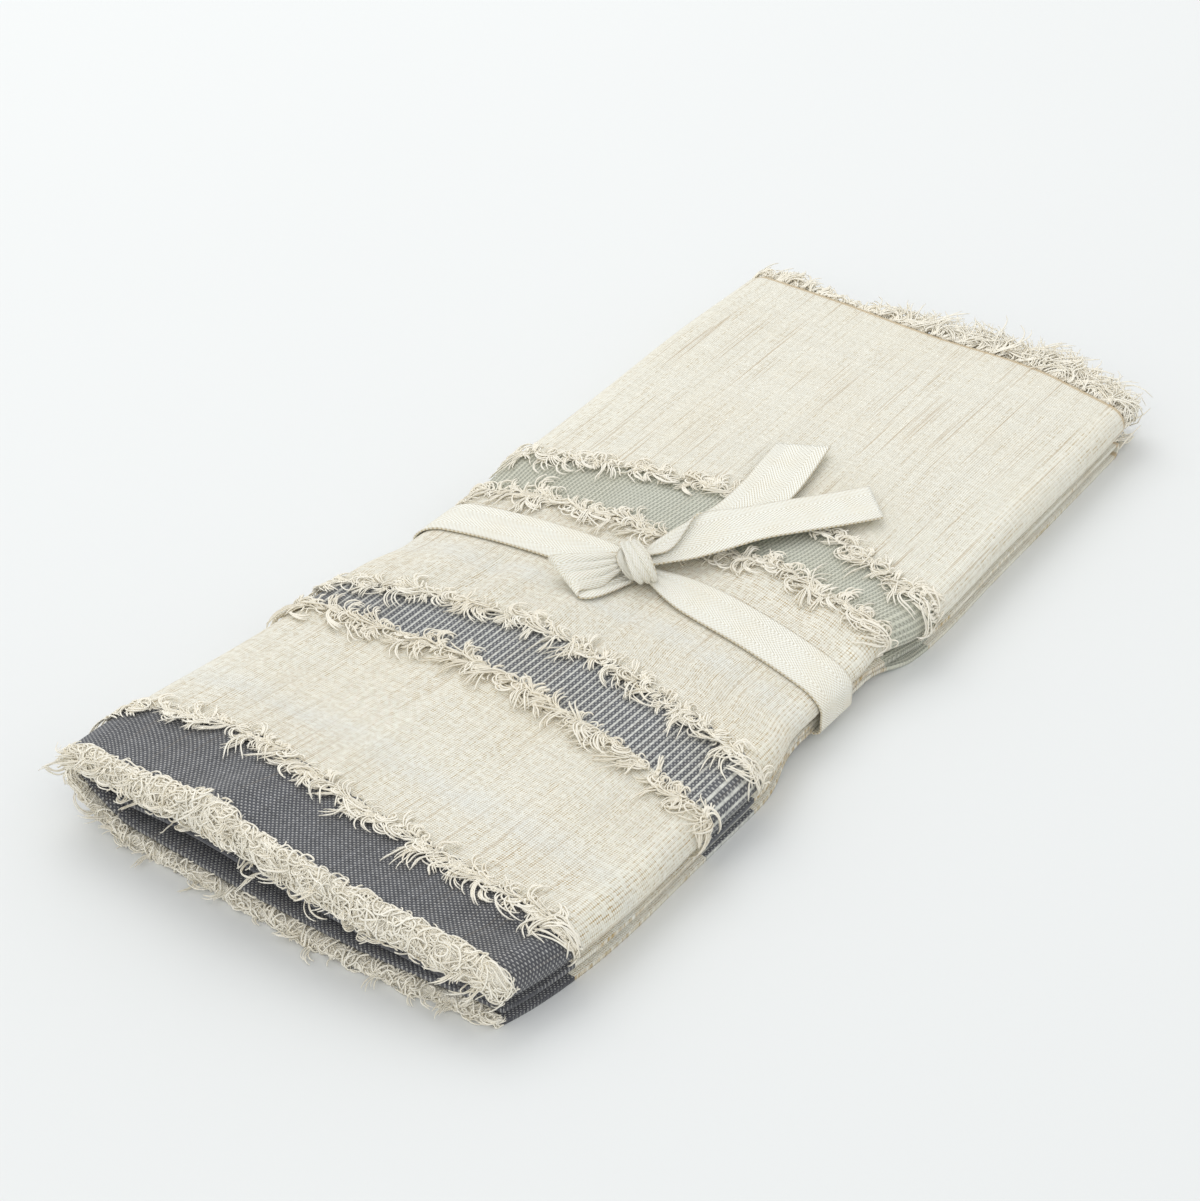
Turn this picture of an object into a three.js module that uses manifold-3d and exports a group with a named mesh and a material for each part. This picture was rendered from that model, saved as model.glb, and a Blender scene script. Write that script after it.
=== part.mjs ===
// Folded cotton hand towel with ragged woven bands, tied round its waist with a cotton tape.
// Millimetres. X runs across the pack, Y along it from the near fringe to the far one, Z up.
// The origin lies on the surface that the pack rests on, under the middle of the whole thing.
//
// The towel is laid double, with its halving fold at the far end, and is then folded in three
// across its width with the middle third on top. That makes six plies.
import * as THREE from "three";
import Module from "manifold-3d";
import { mergeVertices } from "three/addons/utils/BufferGeometryUtils.js";

const wasm = await Module();
wasm.setup();

// Cloth and pack
const PLY = 2.2; // thickness of the cloth
const PITCH = 4.16; // from the middle of one ply to the next
const HALF_PITCH = PITCH / 2;
const LEFT = -83; // outermost x of the folded pack
const RIGHT = 86;
const HALF_WIDTH = 82; // rounded half width, which the tape's sag and its pull at the sides go by
const NEAR_Y = -184; // where the cloth's near end lies
const BOTTOM_EDGE_X = 84; // free edge of the bottom panel
const INNER_EDGE_X = -60; // free edge of the panel tucked inside
const MIDDLE = { x: 2, y: 5.64 }; // middle of the whole thing, in the towel's own measures

const BOTTOM_Z = PLY / 2 + HALF_PITCH; // middle of each doubled panel
const INNER_Z = BOTTOM_Z + 2 * PITCH;
const TOP_Z = BOTTOM_Z + 4 * PITCH;
const SKIN = HALF_PITCH + PLY / 2; // from a doubled panel's middle to its outer face
const LEFT_RADIUS = (TOP_Z - BOTTOM_Z) / 2;
const RIGHT_RADIUS = (TOP_Z - INNER_Z) / 2;
const LEFT_TURN_X = LEFT + LEFT_RADIUS + SKIN;
const RIGHT_TURN_X = RIGHT - RIGHT_RADIUS - SKIN;

// Tape
const TAPE_WIDTH = 18;
const TAPE_THICKNESS = 1.4; // before the waist is squeezed
const TAPE_GAP = 0.55;
const TAPE_ROOM = TAPE_THICKNESS + TAPE_GAP;
const TAPE_MIDDLE_Y = -6;
const TAPE_SAG_Y = 7; // how far nearer the tape runs at the sides than at the knot
const TAIL_THICKNESS = 1.1;
const KNOT = { x: 0, y: -6, z: 26.5, halfX: 7, halfY: 6.2, halfZ: 4.6, wraps: 7, groove: 0.07 };
const GATHER = { rise: 2.2, narrowing: 0.45, reach: 15 }; // how the tape is drawn up into the knot
const TAPE_CORNER = 4; // radius of its turn under the right side

// Waist, mouth and bulge
const WAIST_FLAT = 14.5; // half width of the floor of the waist
const WAIST_REACH = 46; // where the waist has died away
const SQUEEZE_MIDDLE = 0.14;
const SQUEEZE_SIDES = 0.27;
const SIDE_RAISE = 2.4; // how far the tape draws the pack's sides off the floor
const MOUTH_REACH = 95; // how far from the near end the upper panels stay lifted
const BULGE = { x: -19, height: 4.5, halfWidth: 10, reach: 34 };
const SHOULDER = { drop: 2.6, fromX: 48 }; // how much the top falls towards the right fold
const CORNER = { rise: 13, fromX: -56, toX: -84, reach: 70 }; // the left fold's foot, off the floor
const WAVE = { height: 0.45, lengthX: 21, skewY: 47, lengthY: 33 }; // gentle waves in the upper panels

// Fringes, and the narrow strips beside the cloth's ends that they grow from
const STRIP_HALF = 2.3;
const STRIP_GAP = 0.35;
const STRIP_DEPTH = 1.2;
const YARN = 1.7; // thickness of a lock
const SPREAD = 0.45; // sideways lean of a lock, as a share of its length
const UPPER_FLOOR = 8.6; // upper locks stay above this and lower ones below it
const LOWER_ROOF = 6.8;

// Ragged lines, each a narrow strip with locks lying to both sides
const LINE_GAP = 0.5;
const LINE_THICKNESS = 0.9;
const LINE_HALF = 1.1;
const LINE_LOCK = { thickness: 1.1, reach: [4.5, 8], slant: 2.5, clear: 1, clearUnderTail: 0.25 };
const UNDER_TAIL = { fromX: -8, toX: 58 }; // where the tape's front tail lies over the far lines

// Outline and height at named places along and across the pack
const SIDES = [
  { y: -184, left: -84.5, right: 79 },
  { y: -170, left: -85, right: 83 },
  { y: -152, left: -85, right: 86 },
  { y: -90, left: -82, right: 87 },
  { y: -40, left: -80.5, right: 85.5 },
  { y: -6, left: -79.5, right: 81 },
  { y: 40, left: -79.5, right: 86.5 },
  { y: 90, left: -81, right: 85 },
  { y: 140, left: -83, right: 83.5 },
  { y: 184, left: -83, right: 82 },
];
const LIFT = [
  { x: -83, lift: 3 },
  { x: -60, lift: 4.6 },
  { x: -35, lift: 6.6 },
  { x: -10, lift: 6.4 },
  { x: 15, lift: 5.2 },
  { x: 40, lift: 3 },
  { x: 62, lift: 1.2 },
  { x: 86, lift: -0.6 },
];

// Lines across the pack, each given by its y at five places from left to right
const LINE_X = [-80, -40, 0, 40, 80];
const NEAR_END = [-182, -183, -184, -183, -179];
const FAR_END = [181, 182, 181, 183, 180];
const RAGGED = [
  { name: "ragged_line_1", y: [-158, -148, -153, -155, -154], locks: 22 },
  { name: "ragged_line_2", y: [-84, -78, -77, -82, -90], locks: 22 },
  { name: "ragged_line_3", y: [-69, -54, -50, -55, -63], locks: 22 },
  { name: "ragged_line_4", y: [7, 15, 17, 23, 19], locks: 22 },
  { name: "ragged_line_5", y: [28, 42, 50, 49, 40], locks: 22 },
];

const clamp01 = (v) => Math.min(1, Math.max(0, v));
const mix = (a, b, u) => a + (b - a) * u;
const smooth = (a, b, v) => {
  const u = clamp01((v - a) / (b - a));
  return u * u * (3 - 2 * u);
};

// Straight-line reading of a table of rows between named columns
function read(rows, key, column, at) {
  let i = 0;
  while (i < rows.length - 2 && at > rows[i + 1][key]) i += 1;
  const [a, b] = [rows[i], rows[i + 1]];
  return mix(a[column], b[column], clamp01((at - a[key]) / (b[key] - a[key])));
}

function lineY(line, x) {
  const rows = LINE_X.map((lx, i) => ({ x: lx, y: line[i] }));
  return read(rows, "x", "y", x);
}

const tapeY = (x) => TAPE_MIDDLE_Y - TAPE_SAG_Y * (x / HALF_WIDTH) ** 2;

// 1 at the near end, dying away to 0 within reach of it
const nearEnd = (y, reach) => 1 - smooth(NEAR_Y, NEAR_Y + reach, y);

// The stations along the towel's length, where its mesh has a line across
const STATIONS = [
  (x) => lineY(NEAR_END, x),
  (x) => lineY(RAGGED[0].y, x),
  () => -118,
  (x) => lineY(RAGGED[1].y, x),
  (x) => lineY(RAGGED[2].y, x),
  (x) => tapeY(x) - WAIST_FLAT,
  (x) => tapeY(x) + WAIST_FLAT,
  (x) => lineY(RAGGED[3].y, x),
  (x) => lineY(RAGGED[4].y, x),
  () => 92,
  () => 140,
  (x) => lineY(FAR_END, x),
];

// Moves a point of the even pack to where it lies in the real, uneven one
function settle(x, y, z) {
  const across = clamp01((x - LEFT) / (RIGHT - LEFT));
  const beyond = x - mix(LEFT, RIGHT, across);
  const fromTape = y - tapeY(x);
  const waist = 1 - smooth(WAIST_FLAT, WAIST_REACH, Math.abs(fromTape));
  const outlineY = tapeY(x) + fromTape * (1 - waist);
  const left = read(SIDES, "y", "left", outlineY);
  const right = read(SIDES, "y", "right", outlineY);
  const side = Math.abs(x / HALF_WIDTH) ** 2.5;
  const squeeze = 1 - waist * (SQUEEZE_MIDDLE + SQUEEZE_SIDES * Math.min(1.1, side));

  const fold = smooth(INNER_EDGE_X, LEFT_TURN_X, x);
  const lowerTop = mix(BOTTOM_Z + SKIN, PLY / 2, fold);
  const upperBottom = mix(INNER_Z - SKIN, TOP_Z, fold);
  const upper = smooth(lowerTop, upperBottom, z);
  const mouth = read(LIFT, "x", "lift", x) * nearEnd(y, MOUTH_REACH);

  const topPanel = smooth(INNER_Z + SKIN, TOP_Z - SKIN, z);
  const ridge = Math.exp(-(((x - BULGE.x) / BULGE.halfWidth) ** 2));
  const bulge = BULGE.height * ridge * nearEnd(y, BULGE.reach);
  const shoulder = -SHOULDER.drop * smooth(SHOULDER.fromX, RIGHT, x) * (z / (TOP_Z + SKIN));
  const swell = Math.sin(x / WAVE.lengthX + y / WAVE.skewY) * Math.sin(y / WAVE.lengthY + 1);
  const wave = WAVE.height * swell * (1 - waist);

  const lift = upper * (mouth + wave) + topPanel * bulge + upper * shoulder;
  const drawn = SIDE_RAISE * Math.min(1.1, side) * waist;
  const height = squeeze * (z + TAPE_ROOM * waist) + lift * (1 - waist) + drawn;
  const foot = CORNER.rise * smooth(CORNER.fromX, CORNER.toX, x) * nearEnd(y, CORNER.reach);
  const top = TOP_Z + SKIN + mouth;
  return [
    mix(left, right, across) + beyond - MIDDLE.x,
    y - MIDDLE.y,
    foot > 0 ? foot + height * (1 - foot / top) : height,
  ];
}

// Section nodes: a place in the middle of a doubled panel and the way out of the roll from it
function straight(fromX, toX, z, out, steps) {
  return Array.from({ length: steps + 1 }, (_, i) => ({
    x: mix(fromX, toX, i / steps),
    z,
    nx: 0,
    nz: out,
  }));
}

function turn(cx, cz, radius, fromDegrees, toDegrees, steps) {
  return Array.from({ length: steps + 1 }, (_, i) => {
    const a = THREE.MathUtils.degToRad(mix(fromDegrees, toDegrees, i / steps));
    const [nx, nz] = [Math.cos(a), Math.sin(a)];
    return { x: cx + radius * nx, z: cz + radius * nz, nx, nz };
  });
}

const BOTTOM_PANEL = straight(BOTTOM_EDGE_X, LEFT_TURN_X, BOTTOM_Z, -1, 8);
const LEFT_FOLD = turn(LEFT_TURN_X, (TOP_Z + BOTTOM_Z) / 2, LEFT_RADIUS, -90, -270, 8);
const TOP_PANEL = straight(LEFT_TURN_X, RIGHT_TURN_X, TOP_Z, 1, 12);
const RIGHT_FOLD = turn(RIGHT_TURN_X, (TOP_Z + INNER_Z) / 2, RIGHT_RADIUS, 90, -90, 6);
const INNER_PANEL = straight(RIGHT_TURN_X, INNER_EDGE_X, INNER_Z, -1, 8);
const joined = (...runs) => runs.flatMap((run, i) => (i ? run.slice(1) : run));

// The place in a row of nodes that is a given share of the way along it
function along(nodes, share) {
  const place = share * (nodes.length - 1);
  const [i, u] = [Math.floor(place), place % 1];
  const [a, b] = [nodes[i], nodes[i + 1]];
  return { x: mix(a.x, b.x, u), z: mix(a.z, b.z, u), nx: mix(a.nx, b.nx, u), nz: mix(a.nz, b.nz, u) };
}

const at = (node, q, y) => settle(node.x + node.nx * q, y, node.z + node.nz * q);

// Mesh helpers
function meshOf(points, faces) {
  const geometry = new THREE.BufferGeometry();
  geometry.setAttribute("position", new THREE.Float32BufferAttribute(points.flat(), 3));
  geometry.setIndex(faces.flat());
  return geometry;
}

function quad(faces, a, b, c, d) {
  faces.push([a, b, c], [a, c, d]);
}

// A closed bar through rings of points, each ring with the same number of corners
function barOf(rings, closed = false) {
  const corners = rings[0].length;
  const points = rings.flat();
  const faces = [];
  const count = rings.length;
  for (let i = 0; i < (closed ? count : count - 1); i += 1) {
    for (let j = 0; j < corners; j += 1) {
      const [i2, j2] = [(i + 1) % count, (j + 1) % corners];
      quad(faces, i * corners + j, i * corners + j2, i2 * corners + j2, i2 * corners + j);
    }
  }
  if (!closed) {
    const last = (count - 1) * corners;
    for (let j = 1; j < corners - 1; j += 1) {
      faces.push([0, j + 1, j], [last, last + j, last + j + 1]);
    }
  }
  return meshOf(points, faces);
}

function solidOf(geometry) {
  const bare = geometry.clone();
  bare.deleteAttribute("normal");
  bare.deleteAttribute("uv");
  const merged = mergeVertices(bare, 1e-4);
  const make = (triVerts) =>
    new wasm.Manifold(
      new wasm.Mesh({
        numProp: 3,
        vertProperties: new Float32Array(merged.attributes.position.array),
        triVerts,
      }),
    );
  const index = new Uint32Array(merged.index.array);
  const solid = make(index);
  return solid.volume() > 0 ? solid : make(index.reverse());
}

function fused(geometries) {
  const whole = geometries.map(solidOf).reduce((a, b) => a.add(b));
  const { vertProperties, triVerts } = whole.getMesh();
  const geometry = new THREE.BufferGeometry();
  geometry.setAttribute("position", new THREE.BufferAttribute(vertProperties, 3));
  geometry.setIndex(new THREE.BufferAttribute(triVerts, 1));
  return geometry;
}

// The same row of numbers on every run
function dice(seed) {
  let state = seed;
  return (low = 0, high = 1) => {
    state = (state * 1664525 + 1013904223) % 4294967296;
    return low + ((high - low) * state) / 4294967296;
  };
}

// The towel: outer ply out to the far end, round the halving fold, and inner ply back
function towel() {
  const section = joined(BOTTOM_PANEL, LEFT_FOLD, TOP_PANEL, RIGHT_FOLD, INNER_PANEL);
  const foldSteps = 4;
  const lines = [];
  STATIONS.forEach((y) => lines.push({ y, tilt: 1, reach: 0 }));
  for (let i = 1; i < foldSteps; i += 1) {
    const a = (Math.PI * i) / foldSteps;
    lines.push({ y: STATIONS.at(-1), tilt: Math.cos(a), reach: Math.sin(a) });
  }
  [...STATIONS].reverse().forEach((y) => lines.push({ y, tilt: -1, reach: 0 }));

  const side = (thickness) =>
    section.map((node) =>
      lines.map(({ y, tilt, reach }) => {
        const radius = HALF_PITCH + thickness;
        return at(node, radius * tilt, y(node.x) + radius * reach);
      }),
    );
  const [rows, columns] = [section.length, lines.length];
  const points = [...side(-PLY / 2).flat(), ...side(PLY / 2).flat()];
  const skin = rows * columns;
  const id = (i, j, face) => face * skin + i * columns + j;
  const faces = [];
  for (let i = 0; i < rows - 1; i += 1) {
    for (let j = 0; j < columns - 1; j += 1) {
      quad(faces, id(i, j, 0), id(i, j + 1, 0), id(i + 1, j + 1, 0), id(i + 1, j, 0));
      quad(faces, id(i, j, 1), id(i + 1, j, 1), id(i + 1, j + 1, 1), id(i, j + 1, 1));
    }
    for (const j of [0, columns - 1]) {
      const [a, b] = j ? [id(i + 1, j, 0), id(i, j, 0)] : [id(i, j, 0), id(i + 1, j, 0)];
      quad(faces, a, b, b + skin, a + skin);
    }
  }
  for (let j = 0; j < columns - 1; j += 1) {
    for (const i of [0, rows - 1]) {
      const [a, b] = i ? [id(i, j, 0), id(i, j + 1, 0)] : [id(i, j + 1, 0), id(i, j, 0)];
      quad(faces, a, b, b + skin, a + skin);
    }
  }
  return meshOf(points, faces);
}

// A narrow strip beside the cloth's end, that the fringe grows from
function endStrip(nodes, edge, away, start) {
  const [y0, y1] = [away * (start + STRIP_GAP), away * (start + STRIP_GAP + STRIP_DEPTH)];
  const rings = nodes.map((node) => {
    const y = edge(node.x);
    return [
      at(node, -STRIP_HALF, y + y0),
      at(node, STRIP_HALF, y + y0),
      at(node, STRIP_HALF, y + y1),
      at(node, -STRIP_HALF, y + y1),
    ];
  });
  return barOf(rings);
}

// One lock of yarn: a tapered three-sided bar through a few points
function lock(path, thickness) {
  const sides = 3;
  const rings = path.map((p, i) => {
    const ahead = new THREE.Vector3(...path[Math.min(i + 1, path.length - 1)]);
    const way = ahead.sub(new THREE.Vector3(...path[Math.max(i - 1, 0)])).normalize();
    const level = Math.abs(way.z) > 0.9 ? new THREE.Vector3(1, 0, 0) : new THREE.Vector3(0, 0, 1);
    const u = new THREE.Vector3().crossVectors(way, level).normalize();
    const v = new THREE.Vector3().crossVectors(u, way);
    const radius = (thickness / 2) * (i === path.length - 1 ? 0.45 : 1);
    return Array.from({ length: sides }, (_, k) => {
      const a = (2 * Math.PI * k) / sides + Math.PI / 2;
      const [cu, cv] = [radius * Math.cos(a), radius * Math.sin(a)];
      return [p[0] + u.x * cu + v.x * cv, p[1] + u.y * cu + v.y * cv, p[2] + u.z * cu + v.z * cv];
    });
  });
  return barOf(rings);
}

// A fringe on an end: locks that leave the strip, bend down and curl aside
function endFringe({ nodes, edge, away, start, locks, length, thickness, droop, floor, roof, seed }) {
  const roll = dice(seed);
  const parts = [endStrip(nodes, edge, away, start)];
  for (let n = 0; n < locks; n += 1) {
    const node = along(nodes, (n + roll(0.2, 0.8)) / locks);
    const y = edge(node.x) + away * (start + STRIP_GAP + STRIP_DEPTH / 2);
    const root = at(node, roll(-0.7, 0.7) * STRIP_HALF, y);
    const reach = roll(...length);
    const aside = roll(-SPREAD, SPREAD) * reach;
    const fall = roll(...droop) * reach;
    const path = [0, 0.5, 1].map((t) => [
      root[0] + aside * t + roll(-0.5, 0.5) * Math.sign(t),
      root[1] + away * reach * Math.sin(t * 1.25),
      Math.min(roof(node, root), Math.max(floor(node, root), root[2] - fall * t * t)),
    ]);
    path[0] = root;
    parts.push(lock(path, thickness));
  }
  return fused(parts);
}

// A ragged line goes over the outside of the towel, from the left fold to the right one
const LINE_PATH = joined(
  turn(LEFT_TURN_X, (TOP_Z + BOTTOM_Z) / 2, LEFT_RADIUS, -202.5, -270, 3),
  TOP_PANEL,
  turn(RIGHT_TURN_X, (TOP_Z + INNER_Z) / 2, RIGHT_RADIUS, 90, -30, 4),
);

const underTail = (x, y) => y > 0 && x > UNDER_TAIL.fromX && x < UNDER_TAIL.toX;

function raggedLine(line, locks, seed) {
  const roll = dice(seed);
  const lineAt = (node, rise, aside) => at(node, SKIN + LINE_GAP + rise, lineY(line, node.x) + aside);
  const strip = LINE_PATH.map((node) => [
    lineAt(node, 0, LINE_HALF),
    lineAt(node, LINE_THICKNESS, LINE_HALF),
    lineAt(node, LINE_THICKNESS, -LINE_HALF),
    lineAt(node, 0, -LINE_HALF),
  ]);
  const parts = [barOf(strip)];
  for (let n = 0; n < locks; n += 1) {
    const node = along(LINE_PATH, (n + roll(0.25, 0.75)) / locks);
    const away = n % 2 ? 1 : -1;
    const reach = roll(...LINE_LOCK.reach);
    const slant = roll(-LINE_LOCK.slant, LINE_LOCK.slant);
    const covered = underTail(node.x, lineY(line, node.x));
    const arch = covered ? 0 : roll(0.2, 1);
    const clear = covered ? LINE_LOCK.clearUnderTail : LINE_LOCK.clear;
    const path = [0, 0.55, 1].map((t) => {
      const moved = { ...node, x: node.x + slant * t * Math.abs(node.nz) };
      const rise = LINE_THICKNESS / 2 + clear * Math.min(1, 2 * t) + arch * Math.sin(Math.PI * t);
      return lineAt(moved, rise, away * reach * t);
    });
    path[0] = lineAt(node, LINE_THICKNESS / 2, 0);
    parts.push(lock(path, LINE_LOCK.thickness));
  }
  return fused(parts);
}

// Tape: a flat bar through stations, each with its middle, its width direction and its width
function flatTape(stations, thickness) {
  const rings = stations.map((s, i) => {
    const before = stations[Math.max(i - 1, 0)].p;
    const after = stations[Math.min(i + 1, stations.length - 1)].p;
    const way = new THREE.Vector3(...after).sub(new THREE.Vector3(...before)).normalize();
    const across = new THREE.Vector3(...s.across);
    across.addScaledVector(way, -across.dot(way)).normalize();
    const up = new THREE.Vector3().crossVectors(across, way).normalize();
    const corner = (a, b) => [
      s.p[0] + (across.x * a * s.width) / 2 + (up.x * b * thickness) / 2 - MIDDLE.x,
      s.p[1] + (across.y * a * s.width) / 2 + (up.y * b * thickness) / 2 - MIDDLE.y,
      s.p[2] + (across.z * a * s.width) / 2 + (up.z * b * thickness) / 2,
    ];
    return [corner(-1, -1), corner(1, -1), corner(1, 1), corner(-1, 1)];
  });
  return barOf(rings);
}

// Each row: middle of the tape, the way its width points, and the width there
const LOOP = [
  { p: [-1, -8, 26.4], across: [0.8, -0.6, 0], width: 8 },
  { p: [-5, -13, 27.4], across: [0.8, -0.6, 0], width: 13 },
  { p: [-9, -18, 28.2], across: [0.8, -0.6, 0], width: 17 },
  { p: [-13, -23, 28], across: [0.8, -0.6, 0], width: 18 },
  { p: [-14.8, -25.2, 26.9], across: [0.8, -0.6, 0], width: 18 },
  { p: [-14.8, -25.2, 25.3], across: [0.8, -0.6, 0], width: 18 },
  { p: [-13, -22.5, 24.4], across: [0.8, -0.6, 0], width: 18 },
  { p: [-8, -16.5, 24.3], across: [0.8, -0.6, 0], width: 16 },
  { p: [-1, -8, 24.6], across: [0.8, -0.6, 0], width: 8 },
];
const FRONT_TAIL = [
  { p: [1, -4, 26.4], across: [0.9, -0.4, 0.1], width: 8 },
  { p: [4.5, 3, 28], across: [0.85, -0.5, -0.2], width: 11 },
  { p: [8, 11, 28.8], across: [0.8, -0.6, -0.3], width: 16 },
  { p: [12.5, 21, 28.6], across: [0.8, -0.6, -0.15], width: 19 },
  { p: [19.5, 33, 28], across: [0.8, -0.6, 0], width: 19 },
  { p: [28, 46, 27.4], across: [0.8, -0.6, 0], width: 19 },
  { p: [37, 59, 26.7], across: [0.8, -0.6, 0], width: 19 },
  { p: [44.5, 71, 26], across: [0.72, -0.69, 0], width: 19 },
];
const BACK_TAIL = [
  { p: [1, -3, 25.4], across: [1, -0.2, 0], width: 8 },
  { p: [5, 8, 26], across: [0.97, -0.2, 0], width: 14 },
  { p: [9, 22, 25.8], across: [0.99, -0.1, 0], width: 18.5 },
  { p: [11.5, 38, 25.7], across: [1, 0.08, 0], width: 19 },
  { p: [10.8, 55, 25.7], across: [1, 0.15, 0], width: 19 },
  { p: [8.5, 70, 25.8], across: [0.97, 0.22, 0], width: 19 },
  { p: [5.6, 86, 26], across: [0.86, 0.5, 0], width: 19 },
];

// The tape's way round the waist, outside everything: top, right side, floor, left fold
function bandPath() {
  const shift = (nodes) => nodes.map((n) => ({ ...n, x: n.x + n.nx * SKIN, z: n.z + n.nz * SKIN }));
  const top = shift(TOP_PANEL);
  const rightTop = shift(turn(RIGHT_TURN_X, (TOP_Z + INNER_Z) / 2, RIGHT_RADIUS, 90, 0, 3));
  const corner = turn(RIGHT - TAPE_CORNER, TAPE_CORNER, TAPE_CORNER, 0, -90, 3);
  const floor = straight(RIGHT - TAPE_CORNER, LEFT_TURN_X, 0, -1, 8);
  const left = shift(LEFT_FOLD);
  return [...top, ...rightTop.slice(1), ...corner, ...floor.slice(1), ...left.slice(1, -1)];
}

function band() {
  const rings = bandPath().map((node) => {
    const onTop = node.nz > 0.9;
    const near = onTop ? Math.exp(-((node.x / GATHER.reach) ** 2)) : 0;
    const half = (TAPE_WIDTH / 2) * (1 - GATHER.narrowing * near);
    const y = tapeY(node.x);
    const inner = TAPE_GAP + GATHER.rise * near;
    const outer = inner + TAPE_THICKNESS;
    return [
      at(node, inner, y - half),
      at(node, outer, y - half),
      at(node, outer, y + half),
      at(node, inner, y + half),
    ];
  });
  return barOf(rings, true);
}

function knot() {
  const ball = new THREE.SphereGeometry(1, 12, 8);
  const p = ball.attributes.position;
  for (let i = 0; i < p.count; i += 1) {
    const [x, y, z] = [p.getX(i), p.getY(i), p.getZ(i)];
    const wrap = 1 + KNOT.groove * Math.cos(KNOT.wraps * (x + 0.4 * y));
    p.setXYZ(
      i,
      KNOT.x - MIDDLE.x + x * KNOT.halfX,
      KNOT.y - MIDDLE.y + y * KNOT.halfY * wrap,
      KNOT.z + z * KNOT.halfZ * wrap,
    );
  }
  return ball;
}

function ribbon() {
  const pieces = [LOOP, FRONT_TAIL, BACK_TAIL].map((row) => flatTape(row, TAIL_THICKNESS));
  return fused([band(), knot(), ...pieces]);
}

// Fringes on the near end, where the cloth ends, and on the far end past the halving fold
const LEFT_FOLD_TOP = turn(LEFT_TURN_X, (TOP_Z + BOTTOM_Z) / 2, LEFT_RADIUS, -183, -270, 4);
const LEFT_FOLD_FOOT = turn(LEFT_TURN_X, (TOP_Z + BOTTOM_Z) / 2, LEFT_RADIUS, -90, -177, 4);
const UPPER_JAW = joined(LEFT_FOLD_TOP, TOP_PANEL, RIGHT_FOLD, INNER_PANEL);
const LOWER_JAW = joined(BOTTOM_PANEL, LEFT_FOLD_FOOT);

const inFold = (node) => node.x < LEFT_TURN_X + 2;
const upperFloor = (node, root) => (inFold(node) ? root[2] - 0.4 : UPPER_FLOOR);
const lowerRoof = (node, root) => (inFold(node) ? root[2] : LOWER_ROOF);
const noRoof = () => Infinity;
const onFloor = () => YARN / 4;

const FRINGES = [
  {
    name: "fringe_near_upper",
    nodes: UPPER_JAW,
    edge: (x) => lineY(NEAR_END, x),
    away: -1,
    start: 0,
    locks: 46,
    length: [4, 8],
    droop: [0.7, 1.6],
    floor: upperFloor,
    roof: noRoof,
    seed: 11,
  },
  {
    name: "fringe_near_lower",
    nodes: LOWER_JAW,
    edge: (x) => lineY(NEAR_END, x),
    away: -1,
    start: 0,
    locks: 34,
    length: [4, 9],
    droop: [0.5, 1],
    floor: onFloor,
    roof: lowerRoof,
    seed: 23,
  },
  {
    name: "fringe_far_upper",
    nodes: UPPER_JAW,
    edge: (x) => lineY(FAR_END, x),
    away: 1,
    start: SKIN,
    locks: 42,
    length: [10, 19],
    droop: [-0.2, 0.25],
    floor: upperFloor,
    roof: noRoof,
    seed: 37,
  },
  {
    name: "fringe_far_lower",
    nodes: LOWER_JAW,
    edge: (x) => lineY(FAR_END, x),
    away: 1,
    start: SKIN,
    locks: 26,
    length: [8, 15],
    droop: [0.2, 0.5],
    floor: onFloor,
    roof: lowerRoof,
    seed: 41,
  },
];

const cloth = new THREE.MeshStandardMaterial({ color: 0xe9e1d0, roughness: 0.95, metalness: 0 });
const yarn = new THREE.MeshStandardMaterial({ color: 0xe6dfd0, roughness: 0.95, metalness: 0 });
const tape = new THREE.MeshStandardMaterial({ color: 0xf3ead6, roughness: 0.85, metalness: 0 });

const group = new THREE.Group();

function add(name, geometry, material) {
  geometry.computeVertexNormals();
  const mesh = new THREE.Mesh(geometry, material);
  mesh.name = name;
  group.add(mesh);
}

add("towel", towel(), cloth);
for (const { name, ...fringe } of FRINGES) {
  add(name, endFringe({ ...fringe, thickness: YARN }), yarn);
}
RAGGED.forEach(({ name, y, locks }, i) => add(name, raggedLine(y, locks, 101 + i), yarn));
add("ribbon", ribbon(), tape);

export default group;
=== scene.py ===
"""A folded, fringed cotton hand towel with ragged woven bands, tied round its waist with a flat tape."""

import math

import bmesh
import bpy
import numpy as np
from bpy.props import FloatProperty, FloatVectorProperty, IntProperty, PointerProperty
from mathutils import Matrix, Vector


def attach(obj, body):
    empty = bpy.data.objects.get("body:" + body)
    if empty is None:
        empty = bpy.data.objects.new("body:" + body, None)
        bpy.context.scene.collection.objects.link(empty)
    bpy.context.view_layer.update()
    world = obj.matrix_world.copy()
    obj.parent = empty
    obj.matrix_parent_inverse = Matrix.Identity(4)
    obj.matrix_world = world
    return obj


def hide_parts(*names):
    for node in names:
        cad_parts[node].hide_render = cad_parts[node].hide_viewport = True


bl_info = {
    "name": "Folded hand towel",
    "version": (1, 0, 0),
    "blender": (4, 5, 0),
    "location": "View3D > Sidebar > Towel",
    "description": "A folded cotton towel with ragged woven bands, tied with a plain tape",
    "category": "Add Mesh",
}

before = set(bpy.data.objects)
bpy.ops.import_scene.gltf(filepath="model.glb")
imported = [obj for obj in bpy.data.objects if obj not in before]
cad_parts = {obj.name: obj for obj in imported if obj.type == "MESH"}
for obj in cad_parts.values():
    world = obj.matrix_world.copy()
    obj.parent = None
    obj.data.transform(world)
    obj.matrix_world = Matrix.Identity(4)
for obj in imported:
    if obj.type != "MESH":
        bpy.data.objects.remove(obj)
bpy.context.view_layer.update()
MM = 0.001

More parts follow.
